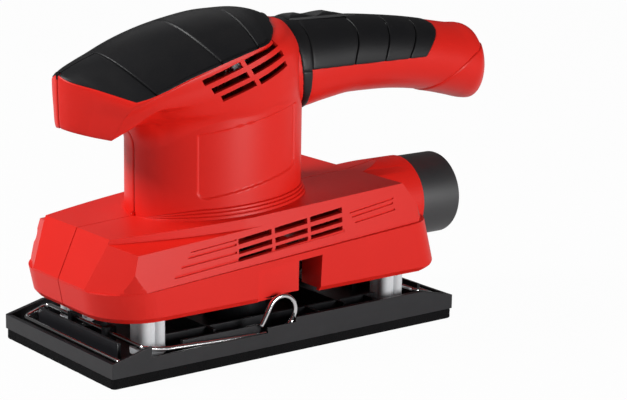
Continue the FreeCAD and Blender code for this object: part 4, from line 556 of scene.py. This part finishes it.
HEAD_SLOTS = (  # start, length, middle of the start, slope
    (-41.9, 19.0, 122.6, 0.337), (-36.9, 17.5, 118.6, 0.337), (-31.8, 16.5, 114.8, 0.346),
    (-20.8, 18.0, 129.6, 0.383), (-17.1, 17.3, 125.3, 0.39), (-13.0, 15.7, 120.7, 0.41))
SLOT_HALF_HEIGHT, SLOT_LEAN = 1.6, 0.7
SLOT_SIDE, SLOT_MARGIN = 20, 1.5  # the least distance from the middle, and how far around a slot is cut


def through(points, cuts, step=None, corner=None, smooth=0):
    """Smooth lines through rows of points. The slope at a row is that of the parabola through it and its
    neighbours, held to three times the lesser side slope and to nought at a turn; Hermite's cubic runs
    between. At a corner the two spans beside it keep their own slopes, but for the first smooth columns."""
    rise = np.diff(points, axis=0)
    if step is None:
        step = np.maximum(np.linalg.norm(rise, axis=-1, keepdims=True), 1e-6)
    slope = rise / step
    inner = (step[1:] * slope[:-1] + step[:-1] * slope[1:]) / (step[1:] + step[:-1])
    most = 3 * np.minimum(abs(slope[:-1]), abs(slope[1:]))
    inner = np.clip(inner, -most, most) * (slope[:-1] * slope[1:] > 0)
    start = np.concatenate([slope[:1], inner])
    end = np.concatenate([inner, slope[-1:]])
    if corner is not None:
        end[corner - 1, smooth:], start[corner, smooth:] = slope[corner - 1, smooth:], slope[corner, smooth:]
    rows = []
    for number, shares in enumerate(cuts):
        t = np.asarray(shares, float).reshape((-1,) + (1,) * (points.ndim - 1))
        bend = (t ** 3 - 2 * t ** 2 + t) * start[number] + (t ** 3 - t ** 2) * end[number]
        rows.append((2 * t ** 3 - 3 * t ** 2 + 1) * points[number]
                    + (3 * t ** 2 - 2 * t ** 3) * points[number + 1] + step[number] * bend)
    return np.concatenate(rows)


def even(count, last=False):
    """Even shares of one span, from its start; last adds its end."""
    return np.arange(count + last) / count


def head_cuts(spacing):
    """Shares of each span along the head's lines at a spacing, closer together beside the centre line."""
    span = np.linalg.norm(np.diff(HEAD_LINES[4], axis=0), axis=1)
    cuts = [even(max(2, int(np.ceil(length / spacing)))) for length in span]
    cuts[0] = np.concatenate([CLOSE_SHARES, cuts[0][cuts[0] > CLOSE_END]])
    cuts[-1] = np.concatenate([cuts[-1][cuts[-1] < 1 - CLOSE_END], 1 - CLOSE_SHARES[::-1]])
    return [np.array([])] + cuts + [np.array([])]


def along_head(lines, spacing):
    """The head's lines, given as (line, place, 3), drawn smoothly from front to rear: beyond either end
    stands the mirror image of the last place but one, so that the lines cross the centre squarely."""
    across = lines.transpose(1, 0, 2)
    mirror = np.array([1, -1, 1])
    across = np.concatenate([across[1:2] * mirror, across, across[-2:-1] * mirror])
    smooth = SMOOTH_LINES if len(lines) > SMOOTH_LINES else 0
    return through(across, head_cuts(spacing), None, LIP_CORNER + 1, smooth).transpose(1, 0, 2)


def column_line(grow, turn):
    """The column's oval: its middle plus its half axes, grown, times cosine and sine of the turn."""
    half_length, half_width = COLUMN_HALF_LENGTH + grow, COLUMN_HALF_WIDTH + grow
    return np.stack([COLUMN_MIDDLE - half_length * np.cos(turn), -half_width * np.sin(turn)], -1)


def deck_under(flat):
    """Height of the sloping deck under points of the plan."""
    return DECK_HEIGHT + DECK_SLOPE * (flat[..., :1] - DECK_START)


def outward(grid):
    """Unit normals of a grid of points: the cross product of its two central differences."""
    normal = np.cross(np.gradient(grid, axis=1), np.gradient(grid, axis=0))
    return normal / np.maximum(np.linalg.norm(normal, axis=2, keepdims=True), 1e-9)


def soft_step(value, width):
    """Nought below minus the width, one above it, and a cubic between."""
    share = np.clip(0.5 + 0.5 * value / width, 0, 1)
    return share * share * (3 - 2 * share)


def panel_sink(x, z):
    """How deep the column's panel is sunk at a place along and up. The distance to a box with round corners
    is the length of what lies beyond its core, less the corner's radius; the box stands two radii taller
    than the panel, whose straight top line cuts it off."""
    run = x - PANEL_FRONT
    ceiling = PANEL_TOP + PANEL_TOP_SLOPE * run + 2 * PANEL_CORNER
    bottom = PANEL_LOW + PANEL_LOW_SLOPE * run
    half_x, half_z = (PANEL_REAR - PANEL_FRONT) / 2, (ceiling - bottom) / 2
    beyond_x = abs(x - (PANEL_REAR + PANEL_FRONT) / 2) - half_x + PANEL_CORNER
    beyond_z = abs(z - (ceiling + bottom) / 2) - half_z + PANEL_CORNER
    outside = np.hypot(np.maximum(beyond_x, 0), np.maximum(beyond_z, 0))
    away = outside + np.minimum(np.maximum(beyond_x, beyond_z), 0) - PANEL_CORNER
    away = np.maximum(away, z - ceiling + 2 * PANEL_CORNER)
    return PANEL_DEPTH * soft_step(-away, PANEL_EDGE)


def column_turn_and_top():
    """Turn and height of the column's upper end at the places of the head's lines, drawn as smoothly."""
    top_points = np.concatenate([column_line(0, COLUMN_TURN), COLUMN_TOP[:, None]], 1)
    both = np.stack([COLUMN_TURN, COLUMN_TOP], 1)
    both = np.concatenate([[both[1] * (-1, 1)], both, [(2 * np.pi, 0) + both[-2] * (-1, 1)]])
    span = np.linalg.norm(np.diff(top_points, axis=0), axis=1)
    span = np.concatenate([span[:1], span, span[-1:]])[:, None]
    return through(both, head_cuts(BODY_SPACING), span).T


def body_grid():
    """The outside of the half body, row by row from below: foot steps, straight column, then the head's
    lines. The panel is sunk in it, and it is rolled in beside the centre line."""
    turn, top = column_turn_and_top()
    fade = np.maximum(soft_step(turn - FOOT_FADE, FOOT_FADE), LEAST_FOOT)
    steps = []
    for grow, rise in FOOT_STEPS:
        flat = column_line(grow * fade, turn)
        steps.append(np.concatenate([flat, deck_under(flat) + rise * (fade[:, None] if rise > 0 else 1)], 1))
    flat = column_line(0, turn)
    foot = deck_under(flat)[:, 0] + FOOT_STEPS[-1, 1] * fade
    level = foot + (top - foot) * even(COLUMN_ROWS)[1:, None]
    column = np.concatenate([np.broadcast_to(flat, level.shape + (2,)), level[..., None]], 2)
    column_end = np.concatenate([flat, top[:, None]], 1)[None]
    head = along_head(HEAD_LINES, BODY_SPACING)
    upper = np.concatenate([column_end - (0, 0, GHOST_DROP), column_end, head])
    cuts = [np.array([])] + [even(count) for count in ROWS_BETWEEN[:-1]] + [even(ROWS_BETWEEN[-1], True)]
    grid = np.concatenate([np.array(steps), column, through(upper, cuts)])
    rolled = SEAM_ROUND * np.exp(-(grid[..., 1] / SEAM_WIDTH) ** 2)
    grid = grid - outward(grid) * (panel_sink(grid[..., 0], grid[..., 2]) + rolled)[..., None]
    grid[..., 1] = np.minimum(grid[..., 1], -SEAM_GAP)
    return grid


def ledge_under(edge):
    """Two lines that lead from the body's top edge inwards under the cap: in towards the middle, and down."""
    inward = np.stack([np.clip(edge[:, 0], *LEDGE_MIDDLE) - edge[:, 0], -edge[:, 1]], 1)
    inward /= np.maximum(np.linalg.norm(inward, axis=1, keepdims=True), 1e-6)
    lines = []
    for depth, drop in LEDGE:
        line = edge.copy()
        line[:, :2] += inward * depth
        line[:, 2] -= drop
        lines.append(line)
    return np.array(lines)


def held_between(face, walls, margin=0.0):
    """Whether the middle of a face lies between walls, each a point and its way out, grown by a margin."""
    middle = face.calc_center_median()
    return all((middle - at).dot(way) < margin for at, way in walls)


def slotted(piece, side):
    """Open the head's slots in a sheet: its faces are cut along each slot's four walls, which stand square to
    the XZ plane (lower and upper wall along the slope, the ends leaning), and those inside are taken out."""
    shape = bmesh.new()
    shape.from_mesh(piece.data)
    for start, length, middle, slope in HEAD_SLOTS:
        up = Vector((-slope, 0, 1)) / np.hypot(1, slope)
        off = Vector((-1, 0, -SLOT_LEAN)) / np.hypot(1, SLOT_LEAN)
        first = Vector((start, 0, middle)) * MM
        last = Vector((start + length, 0, middle + slope * length)) * MM
        rise = Vector((0, 0, SLOT_HALF_HEIGHT * MM))
        walls = ((first + rise, up), (first - rise, -up), (first, off), (last, -off))
        region = [f for f in shape.faces if side * f.calc_center_median().y > SLOT_SIDE * MM]
        region = [f for f in region if held_between(f, walls, SLOT_MARGIN * MM)]
        for at, way in walls:
            near = set(region) | {e for f in region for e in f.edges} | {v for f in region for v in f.verts}
            cut = bmesh.ops.bisect_plane(shape, geom=list(near), plane_co=at, plane_no=way, dist=SAME_POINT)
            region = [g for g in cut["geom"] if isinstance(g, bmesh.types.BMFace)]
        bmesh.ops.delete(shape, geom=[f for f in region if held_between(f, walls)], context="FACES")
    shape.to_mesh(piece.data)
    shape.free()
    return piece


def thickened(piece, wall):
    """Give a sheet its wall, inwards from the outside."""
    wall_maker = piece.modifiers.new("wall", "SOLIDIFY")
    wall_maker.thickness, wall_maker.offset = wall * MM, -1
    return made(piece)


def turned_out(piece, inside):
    """Turn an open sheet's faces away from a point inside it, in millimetres, if most of them look at it."""
    mesh = piece.data
    centre, normal = np.empty(len(mesh.polygons) * 3), np.empty(len(mesh.polygons) * 3)
    mesh.polygons.foreach_get("center", centre)
    mesh.polygons.foreach_get("normal", normal)
    away = centre.reshape(-1, 3) - np.array(inside) * MM
    if (away * normal.reshape(-1, 3)).sum() < 0:
        mesh.flip_normals()
    return piece


half_body = body_grid()
half_body = np.concatenate([half_body, ledge_under(half_body[-1])])
for side, way in (("left", 1), ("right", -1)):
    body = new_piece("body_half_" + side, half_body * (1, way, 1), grid_faces(*half_body.shape[:2]))
    thickened(slotted(turned_out(body, COLUMN_INSIDE), -way), BODY_WALL)
    crease(body, 40)
    wear_material(stand_for(body, "body_shell_" + side), red_plastic)

# ---- Head cap -----------------------------------------------------------------------------------
# The soft black skin over the palm head, moulded onto the shells: a low dome with three cross grooves and a
# short centre groove, and a rolled rim that sits just proud of the red edge.
CROWN = np.array([  # x, z
    (-91.5, 125.5), (-84, 129), (-72.9, 133.2), (-63, 137.4), (-48, 142.3), (-32, 145.9), (-16, 148),
    (-4, 148.1), (4, 147.2), (10, 145.5), (14.8, 143.2)])
EDGE_TO_CROWN = np.array([  # x at the edge, x on the crown
    (-91.5, -91.5), (-82, -87.5), (-71, -80), (-63, -72.9), (-32.3, -39.2), (-13.6, -11.1), (0, 3), (5, 8),
    (8.5, 11), (12.8, 13.8), (14.8, 14.8)])
CAP_GROOVES = ((-63.0, -72.9), (-32.3, -39.2), (-13.6, -11.1))
DOME_POWER, CAP_PROUD, CAP_WALL = 1.8, 0.22, 1.6
CAP_RIM, CAP_RIM_WIDTH, LEAST_HALF_WIDTH = 0.35, 0.3, 0.5
GROOVE_DEPTH, GROOVE_WIDTH = 1.1, 0.30
TIP_GROOVE_DEPTH, TIP_GROOVE_WIDTH, TIP_GROOVE_END = 0.45, 0.35, 0.8
CAP_SPACING = 0.36
GRIP_BLACK = (0.0078, 0.0078, 0.0090, 1)


def smooth_curve(table, at):
    """A smooth line through a table of two columns, read at the given places."""
    fine = through(table[:, None, :], [even(24)] * (len(table) - 2) + [even(24, True)])[:, 0]
    return np.interp(at, fine[:, 0], fine[:, 1])


def cap_grid():
    """The cap's outside. Going from the edge to the crown by a share w, y falls in proportion, x moves by one
    less the square of what is left, and z rises by one less what is left to the dome's power."""
    edge = along_head(HEAD_LINES[-1:], CAP_SPACING)[0]
    crown_x = smooth_curve(EDGE_TO_CROWN, edge[:, 0])
    crown_z = smooth_curve(CROWN, crown_x)
    by_edge = [0, 0.004, 0.009, 0.016, 0.026, 0.04, 0.06]
    by_crown = [0.955, 0.968, 0.979, 0.987, 0.994, 1.0]
    w = np.concatenate([by_edge, np.linspace(0.085, 0.94, 40), by_crown])[:, None]
    left = 1 - w
    x = edge[:, 0] + (crown_x - edge[:, 0]) * (1 - left ** 2)
    y = edge[:, 1] * left
    z = edge[:, 2] + (crown_z - edge[:, 2]) * (1 - left ** DOME_POWER)
    grid = np.stack([x, y, z], 2)
    half = np.concatenate([grid, grid[-2::-1] * (1, -1, 1)])
    normal = outward(half)
    normal *= np.sign(normal[..., 2:].sum()) or 1
    from_edge = np.abs(np.concatenate([w, w[-2::-1]])) * np.maximum(np.abs(edge[:, 1]), LEAST_HALF_WIDTH)
    lift = CAP_PROUD - CAP_RIM * np.exp(-from_edge / CAP_RIM_WIDTH)
    rest = 1 - np.concatenate([w, w[-2::-1]])
    for at_edge, at_crown in CAP_GROOVES:
        line = at_edge + (at_crown - at_edge) * (1 - rest ** 2)
        lift = lift - GROOVE_DEPTH * np.exp(-((half[..., 0] - line) / GROOVE_WIDTH) ** 2)
    tip = soft_step(CAP_GROOVES[0][1] - half[..., 0], TIP_GROOVE_END)
    lift = lift - TIP_GROOVE_DEPTH * tip * np.exp(-(half[..., 1] / TIP_GROOVE_WIDTH) ** 2)
    half = half + normal * lift[..., None]
    rim = ledge_under(half[0])
    return np.concatenate([rim[::-1], half, rim * (1, -1, 1)])


soft_grip = finish_of("soft_grip", GRIP_BLACK, 0.44, spread=0.18, grain=2100.0, pits=0.5, relief=0.20,
                      wear=0.10, dust=0.012, specular=0.32)
cap_points = cap_grid()
cap = new_piece("palm_cap", cap_points, grid_faces(*cap_points.shape[:2]))
thickened(turned_out(cap, COLUMN_INSIDE), CAP_WALL)
crease(cap, 45)
wear_material(stand_for(cap, "head_grip"), soft_grip)

# ---- Rear handle --------------------------------------------------------------------------------
# An oval handle in the same two red halves, with a black band round its root, a soft black grip over its
# top and a red end lobe. Each is let into the red plastic, so a fine line runs round it.
HANDLE_OVALS = np.array([  # x, lowest, highest, half width
    (12.0, 98.4, 142.0, 20.4), (30.0, 99.5, 141.4, 20.6), (45.0, 102.2, 141.2, 20.2),
    (62.0, 104.4, 140.4, 19.8), (80.0, 104.2, 138.8, 19.4), (97.0, 102.8, 136.8, 19.0),
    (112.0, 100.4, 134.4, 18.6), (124.0, 97.6, 132.4, 18.2), (132.5, 95.4, 131.4, 17.2),
    (136.6, 94.8, 129.0, 14.2), (139.2, 96.2, 124.0, 10.8), (140.3, 100.0, 117.5, 7.6)])
BAND_FRONT = np.array([  # z, x, as in the next two
    (99, 29), (106, 25.5), (113, 23), (121, 21.5), (127, 21), (134, 20.2), (138, 20.1), (141, 20.3)])
BAND_REAR = np.array([
    (101.8, 31.4), (106.6, 29.4), (114, 27.9), (121, 27.3), (127.6, 27.5), (134, 28.2), (138, 28.6),
    (141, 29)])
GRIP_REAR = np.array([
    (119.6, 95.4), (122.5, 98), (126, 101.4), (129, 105), (131.4, 107.4), (133.7, 108.8), (135.6, 108.2),
    (136.6, 105.5)])
GRIP_GROOVES = [np.array(line) for line in (
    [(120, 51.8), (120.6, 52), (124.7, 53), (129.7, 55.2), (133.8, 56.7), (137.2, 57.1), (140.3, 56.8)],
    [(120.3, 70.2), (124.7, 71.6), (129, 73.7), (133.8, 76.1), (137.6, 78.4), (139, 79)],
    [(120.3, 85.2), (122.7, 86.4), (127, 89.3), (131.1, 92.3), (134.4, 94.5), (136.6, 95.3), (137.5, 95.5)])]
LOBE_SEAM = np.array([  # x, z
    (98.0, 92.0), (102.0, 97.5), (105.6, 102.0), (109.4, 105.4), (114.2, 109.7), (120.0, 114.3),
    (126.9, 118.3), (134.3, 121.6), (142.0, 124.2), (150.0, 126.5)])
SPLIT_LEVEL, SKIN_WALL = 120.0, 1.0
LET_IN, BAND_PROUD, GRIP_PROUD, LOBE_PROUD = 1.1, 0.7, 0.28, 0.55
ROOT, LAST_EVEN, EVEN_SPACING, END_ROWS = 14.0, 138.0, 0.55, 60  # rows of the halves along X
HALF_COLUMNS, BAND_COLUMNS, GRIP_GRID, LOBE_COLUMNS, LOBE_ROWS = 110, 300, (400, 120), 240, 84
HANDLE_SEAM, HANDLE_SEAM_WIDTH = 0.3, 0.4
BAND_MIDDLE, BAND_EDGE, BAND_SUNK = 26.0, 0.35, 0.15
BAND_LINE, BAND_LINE_WIDTH, BAND_LINE_EDGE = 0.4, 0.3, 0.1
GRIP_MIDDLE, GRIP_EDGE, GRIP_SIDE_RADIUS = 60.0, 0.32, 20.0
GRIP_ROUNDS = 6  # times that the grip's places along X are corrected for its leaning ends
LOBE_SEARCH_START, LOBE_SEARCH_STEPS = 96.0, 900
LOBE_LAG, LOBE_BORDER = 1.5, 1.0  # in stations
STATION_LENGTH, LOBE_EDGE = 0.4, 0.5
INNER_RINGS = (0.6, 0.25)  # their sizes, as shares of the last ring: they close the lobe's end
SLIDER_ROOM = (24.2, 64.7, 6.0, 140.2)  # from, to, half width, floor
SEAT_BORDER, SEAT_ABOVE = 0.5, 125
CLEARANCE, LET_IN_BORDER, LINE_DEPTH = 0.55, 0.3, 0.75
OVAL_STEPS = [even(30)] * (len(HANDLE_OVALS) - 2) + [even(30, True)]
OVALS = through(HANDLE_OVALS[:, None, :], OVAL_STEPS)[:, 0]  # at close stations, smoothly from root to end


def on_oval(station, turn, out=0.0):
    """Point of the handle at a station (a number of the oval table) and a turn from the side: half width
    times cosine across, half height times sine up, both grown by out, which leans along X where the ovals
    shrink."""
    station, turn = np.broadcast_arrays(np.asarray(station, float), turn)
    x, low, high, wide = (np.interp(station, np.arange(len(OVALS)), OVALS[:, i]) for i in range(4))
    steep = np.clip(np.gradient(OVALS[:, 3]) / np.maximum(np.gradient(OVALS[:, 0]), 1e-3), -8, 0)
    lean = -np.interp(station, np.arange(len(OVALS)), steep)
    flat = 1 / np.sqrt(1 + lean ** 2)
    side, rise = wide + out * flat, (high - low) / 2 + out * flat
    return np.stack([x + out * lean * flat, -side * np.cos(turn), (high + low) / 2 + rise * np.sin(turn)], -1)


def station_at(x):
    """Station of the oval table at a place along the handle."""
    return np.interp(x, OVALS[:, 0], np.arange(len(OVALS)))


def lobe_start(turn):
    """Station where the end lobe's seam crosses the line at each turn."""
    stations = np.linspace(station_at(LOBE_SEARCH_START), len(OVALS) - 1, LOBE_SEARCH_STEPS)[:, None]
    point = on_oval(stations, np.asarray(turn)[None])
    below = point[..., 2] < np.interp(point[..., 0], LOBE_SEAM[:, 0], LOBE_SEAM[:, 1])
    return stations[np.argmax(below, axis=0), 0]


def seat_cut(grid):
    """Sink the slider's seat into the top: inside its box no point stands above the floor, but for a soft
    border."""
    front, rear, wide, floor_level = SLIDER_ROOM
    x, z = grid[..., 0], grid[..., 2]
    inside = soft_step(x - front, SEAT_BORDER) * soft_step(rear - x, SEAT_BORDER)
    inside = inside * soft_step(wide - abs(grid[..., 1]), SEAT_BORDER)
    grid[..., 2] -= inside * np.maximum(z - floor_level, 0) * (z > SEAT_ABOVE)
    return grid


def handle_half_grid():
    """Red half handle on the near side: the oval from bottom to top, let in under band, grip and lobe, and
    closed at the handle's end."""
    body = station_at(np.arange(ROOT, LAST_EVEN, EVEN_SPACING))
    last_rows = np.linspace(station_at(LAST_EVEN), len(OVALS) - 1, END_ROWS)
    stations = np.concatenate([body, last_rows])[:, None]
    turn = np.linspace(-0.5 * np.pi, 0.5 * np.pi, HALF_COLUMNS)[None]
    grid = on_oval(stations, turn)
    x, z = grid[..., 0], grid[..., 2]

    def covered(distance):
        return soft_step(distance, LET_IN_BORDER)

    band_front, band_rear = np.interp(z, *BAND_FRONT.T), np.interp(z, *BAND_REAR.T)
    band = covered(x - band_front - CLEARANCE) * covered(band_rear - CLEARANCE - x)
    grip = covered(z - SPLIT_LEVEL - CLEARANCE) * covered(x - band_rear)
    grip = grip * covered(np.interp(z, *GRIP_REAR.T) - CLEARANCE - x)
    lobe = soft_step(stations - lobe_start(turn[0])[None] - LOBE_LAG, LOBE_BORDER)
    let_in = -LET_IN * np.maximum(np.maximum(band, grip), lobe)
    rolled = -HANDLE_SEAM * np.exp(-(grid[..., 1] / HANDLE_SEAM_WIDTH) ** 2)
    grid = seat_cut(on_oval(stations, turn, let_in + rolled))
    grid[..., 1] = np.minimum(grid[..., 1], -SEAM_GAP)
    end = grid[-1:].mean(axis=1, keepdims=True) * (1, 0, 1)
    return np.concatenate([grid, np.broadcast_to(end, grid[-1:].shape)])


def band_grid():
    """Band round the handle's root: a full ring between two leaning lines, proud in the middle, rolled at its
    borders, with a fine line at the split level."""
    turn = np.linspace(0, 2 * np.pi, BAND_COLUMNS, endpoint=False)[:, None]
    rising = [0, 0, 0.03, 0.07, 0.12, 0.2, 0.35]
    share = np.array(rising + [0.5, 0.65, 0.8, 0.88, 0.93, 0.97, 1, 1])[None]
    level = on_oval(station_at(BAND_MIDDLE), turn)[..., 2]
    front, rear = np.interp(level, *BAND_FRONT.T), np.interp(level, *BAND_REAR.T)
    station = station_at(front + (rear - front) * share)
    edge = np.minimum(share, 1 - share) * (rear - front)
    lift = BAND_PROUD * (1 - np.exp(-edge / BAND_EDGE)) - BAND_SUNK
    line = np.exp(-((level - SPLIT_LEVEL) / BAND_LINE_WIDTH) ** 2)
    lift = lift - BAND_LINE * line * (edge > BAND_LINE_EDGE)
    lift[:, 0] = lift[:, -1] = -LET_IN
    return seat_cut(on_oval(station, np.broadcast_to(turn, station.shape), lift))


def grip_grid():
    """Soft grip over the top: a share along it from band to rear line, and a share round it from split level
    over the top to the other split level; grooves are sunk where it crosses their lines."""
    along, round_share = np.linspace(0, 1, GRIP_GRID[0])[:, None], np.linspace(0, 1, GRIP_GRID[1])[None]
    x = np.full(GRIP_GRID, GRIP_MIDDLE)
    for _ in range(GRIP_ROUNDS):
        station = station_at(x)
        low, high = (np.interp(x, OVALS[:, 0], OVALS[:, i]) for i in (1, 2))
        start = np.arcsin(np.clip((SPLIT_LEVEL - (low + high) / 2) / ((high - low) / 2), -1, 1))
        turn = start + (np.pi - 2 * start) * round_share
        z = on_oval(station, turn)[..., 2]
        front, rear = np.interp(z, *BAND_REAR.T), np.interp(z, *GRIP_REAR.T)
        x = front + (rear - front) * along
    side_run = GRIP_SIDE_RADIUS * np.minimum(turn - start, np.pi - start - turn)
    edge = np.minimum(np.minimum(along, 1 - along) * (rear - front), side_run)
    lift = GRIP_PROUD - LINE_DEPTH * np.exp(-edge / GRIP_EDGE)
    for line in GRIP_GROOVES:
        lift = lift - GROOVE_DEPTH * np.exp(-((x - np.interp(z, *line.T)) / GROOVE_WIDTH) ** 2)
    return seat_cut(on_oval(station_at(x), turn, lift))


def lobe_grid():
    """End lobe: from its seam to the handle's end, all round, proud of the red with a rolled front border."""
    turn = np.linspace(0, 2 * np.pi, LOBE_COLUMNS, endpoint=False)
    share = np.concatenate([[0, 0, 0.006, 0.014, 0.025, 0.04], np.linspace(0.06, 1, LOBE_ROWS)])[:, None]
    folded = np.arcsin(np.sin(turn))
    start = lobe_start(folded)[None]
    station = start + (len(OVALS) - 1 - start) * share
    run = (station - start) * STATION_LENGTH
    lift = LOBE_PROUD - LINE_DEPTH * np.exp(-run / LOBE_EDGE)
    lift[0] = -LET_IN
    grid = on_oval(station, np.broadcast_to(turn, station.shape), lift)
    end = grid[-1:].mean(axis=1, keepdims=True)
    return np.concatenate([grid, *(end + (grid[-1:] - end) * size for size in INNER_RINGS)])


handle_sheet = handle_half_grid()
for side, way in (("left", 1), ("right", -1)):
    half = new_piece("handle_half_" + side, handle_sheet * (1, way, 1), grid_faces(*handle_sheet.shape[:2]))
    thickened(turned_out(half, (80, 0, 119)), BODY_WALL)
    crease(half, 40)
    wear_material(stand_for(half, "body_shell_" + side), red_plastic)

for name, grid, node, wrap, middle_x in (
    ("root_band", band_grid().transpose(1, 0, 2), "handle_ring", True, 26),
    ("handle_grip_skin", grip_grid(), "handle_grip", False, 60),
):
    piece = new_piece(name, grid, grid_faces(*grid.shape[:2], wrap=wrap))
    thickened(turned_out(piece, (middle_x, 0, 119)), SKIN_WALL)
    crease(piece, 45)
    wear_material(stand_for(piece, node), soft_grip)
lobe = lofted("end_lobe", lobe_grid())
crease(lobe, 45)
wear_material(stand_for(lobe, "handle_tail"), red_plastic)

# ---- Switch and cord entry ----------------------------------------------------------------------
# A black slide switch with two finger bumps on the handle's root; inside, its contact block, a capacitor and
# the cord clamp. The cord enters by a rubber gland at the handle's end.
SLIDER_BLACK = (0.009, 0.009, 0.010, 1)
GLAND_BLACK = (0.013, 0.013, 0.014, 1)
CAPACITOR_BLUE = (0.06, 0.12, 0.24, 1)

switch_plastic = finish_of("switch_plastic", SLIDER_BLACK, 0.36, spread=0.12, relief=0.08, wear=0.15,
                           dust=0.01, specular=0.3)
gland_rubber = finish_of("gland_rubber", GLAND_BLACK, 0.62, spread=0.25, grain=1500.0, relief=0.2, wear=0.1)
capacitor_foil = finish_of("capacitor_foil", CAPACITOR_BLUE, 0.3, spread=0.1)
wear_material(softened("switch_slider", "switch_slider_cap", 0.45, shortest=0.8, sharp=24), switch_plastic)
wear_material(softened("cord_gland", "cord_gland_rubber", 0.4, shortest=0.8), gland_rubber)
for name, material in (
    ("switch_body", switch_plastic), ("cord_clamp", switch_plastic), ("capacitor", capacitor_foil),
    ("clamp_screws", screw_steel), ("housing_screws", screw_steel),
):
    wear_material(frame["nodes"][name], material)

# ---- Studio -------------------------------------------------------------------------------------
# Pale floor and soft boxes: a high key before the nose, one as strong and low beside the tool, and two
# faint ones above and behind. The view is from the front left and slightly above, with a long lens.
CAMERA_PLACE = (-0.49694, -0.69579, 0.26015)
CAMERA_AZIMUTH, CAMERA_ELEVATION, CAMERA_ROLL = np.radians((-37.914, 13.136, 0.967))
CAMERA_LENS, SENSOR_WIDTH = 111.25, 36.0
FLOOR_SIZE, FLOOR_LEVEL, FLOOR_GLOW, FLOOR_MIRRORED = 6.0, -0.0004, 0.975, 0.5
AMBIENT, MIRRORED_AMBIENT = 0.15, 0.06
SOFT_BOXES = (  # name, place, size, power, aimed at
    ("key_box", (-0.88, 0.38, 0.80), 0.34, 13.0, (0.0, 0.0, 0.07)),
    ("side_box", (0.40, -1.25, 0.20), 0.44, 12.0, (0.0, 0.0, 0.07)),
    ("top_box", (-0.1, 0.2, 1.1), 0.6, 0.3, (0.0, 0.0, 0.1)),
    ("back_box", (0.5, 0.9, 0.8), 0.5, 0.4, (0.0, 0.0, 0.1)),
)

floor_mesh = bpy.data.meshes.new("studio_floor")
half = FLOOR_SIZE / 2
corners = [(x, y, FLOOR_LEVEL) for x, y in ((-half, -half), (half, -half), (half, half), (-half, half))]
floor_mesh.from_pydata(corners, [], [(0, 1, 2, 3)])
floor = bpy.data.objects.new("studio_floor", floor_mesh)
bpy.context.scene.collection.objects.link(floor)
floor_paint = bpy.data.materials.new("floor_paint")
floor_paint.use_nodes = True
tree = floor_paint.node_tree
tree.nodes.clear()
rays = put(tree, "ShaderNodeLightPath").outputs
glossy = maths(tree, "MULTIPLY", rays["Is Glossy Ray"], FLOOR_MIRRORED)
seen = maths(tree, "MAXIMUM", rays["Is Camera Ray"], glossy)
seen = maths(tree, "MAXIMUM", seen, rays["Is Transmission Ray"])
plain = put(tree, "ShaderNodeBsdfDiffuse", {"Color": (0.5, 0.5, 0.5, 1)}).outputs[0]
glow = put(tree, "ShaderNodeEmission", {"Color": (1, 1, 1, 1), "Strength": 1.0}).outputs[0]
blend = put(tree, "ShaderNodeMixShader", {0: maths(tree, "MULTIPLY", seen, FLOOR_GLOW), 1: plain, 2: glow})
tree.links.new(blend.outputs[0], put(tree, "ShaderNodeOutputMaterial").inputs["Surface"])
floor_mesh.materials.append(floor_paint)

world = bpy.data.worlds.new("studio_air")
world.use_nodes = True
bpy.context.scene.world = world
tree = world.node_tree
tree.nodes.clear()
rays = put(tree, "ShaderNodeLightPath").outputs
seen = maths(tree, "MAXIMUM", rays["Is Camera Ray"], rays["Is Transmission Ray"])
dimmed = maths(tree, "MULTIPLY_ADD", rays["Is Glossy Ray"], MIRRORED_AMBIENT - AMBIENT, AMBIENT)
dim = put(tree, "ShaderNodeBackground", {"Color": (1, 1, 1, 1), "Strength": dimmed}).outputs[0]
white = put(tree, "ShaderNodeBackground", {"Color": (1, 1, 1, 1), "Strength": 1.0}).outputs[0]
blend = put(tree, "ShaderNodeMixShader", {0: seen, 1: dim, 2: white})
tree.links.new(blend.outputs[0], put(tree, "ShaderNodeOutputWorld").inputs["Surface"])

for name, place, size, power, target in SOFT_BOXES:
    lamp = bpy.data.lights.new(name, "AREA")
    lamp.size, lamp.energy = size, power
    held = bpy.data.objects.new(name, lamp)
    held.location = place
    held.rotation_euler = (Vector(target) - Vector(place)).to_track_quat("-Z", "Y").to_euler()
    bpy.context.scene.collection.objects.link(held)

along = np.cos(CAMERA_ELEVATION)
back = Vector((np.sin(CAMERA_AZIMUTH) * along, -np.cos(CAMERA_AZIMUTH) * along, np.sin(CAMERA_ELEVATION)))
level = Vector((0, 0, 1)).cross(back).normalized()
upright = back.cross(level)
right = level * np.cos(CAMERA_ROLL) + upright * np.sin(CAMERA_ROLL)
over = upright * np.cos(CAMERA_ROLL) - level * np.sin(CAMERA_ROLL)
lens = bpy.data.cameras.new("camera")
lens.lens, lens.sensor_width, lens.clip_start = CAMERA_LENS, SENSOR_WIDTH, 0.01
camera = bpy.data.objects.new("camera", lens)
camera.matrix_world = Matrix((right, over, back)).transposed().to_4x4()
camera.location = CAMERA_PLACE
bpy.context.scene.collection.objects.link(camera)
bpy.context.scene.camera = camera
bpy.context.scene.view_settings.view_transform = "Standard"
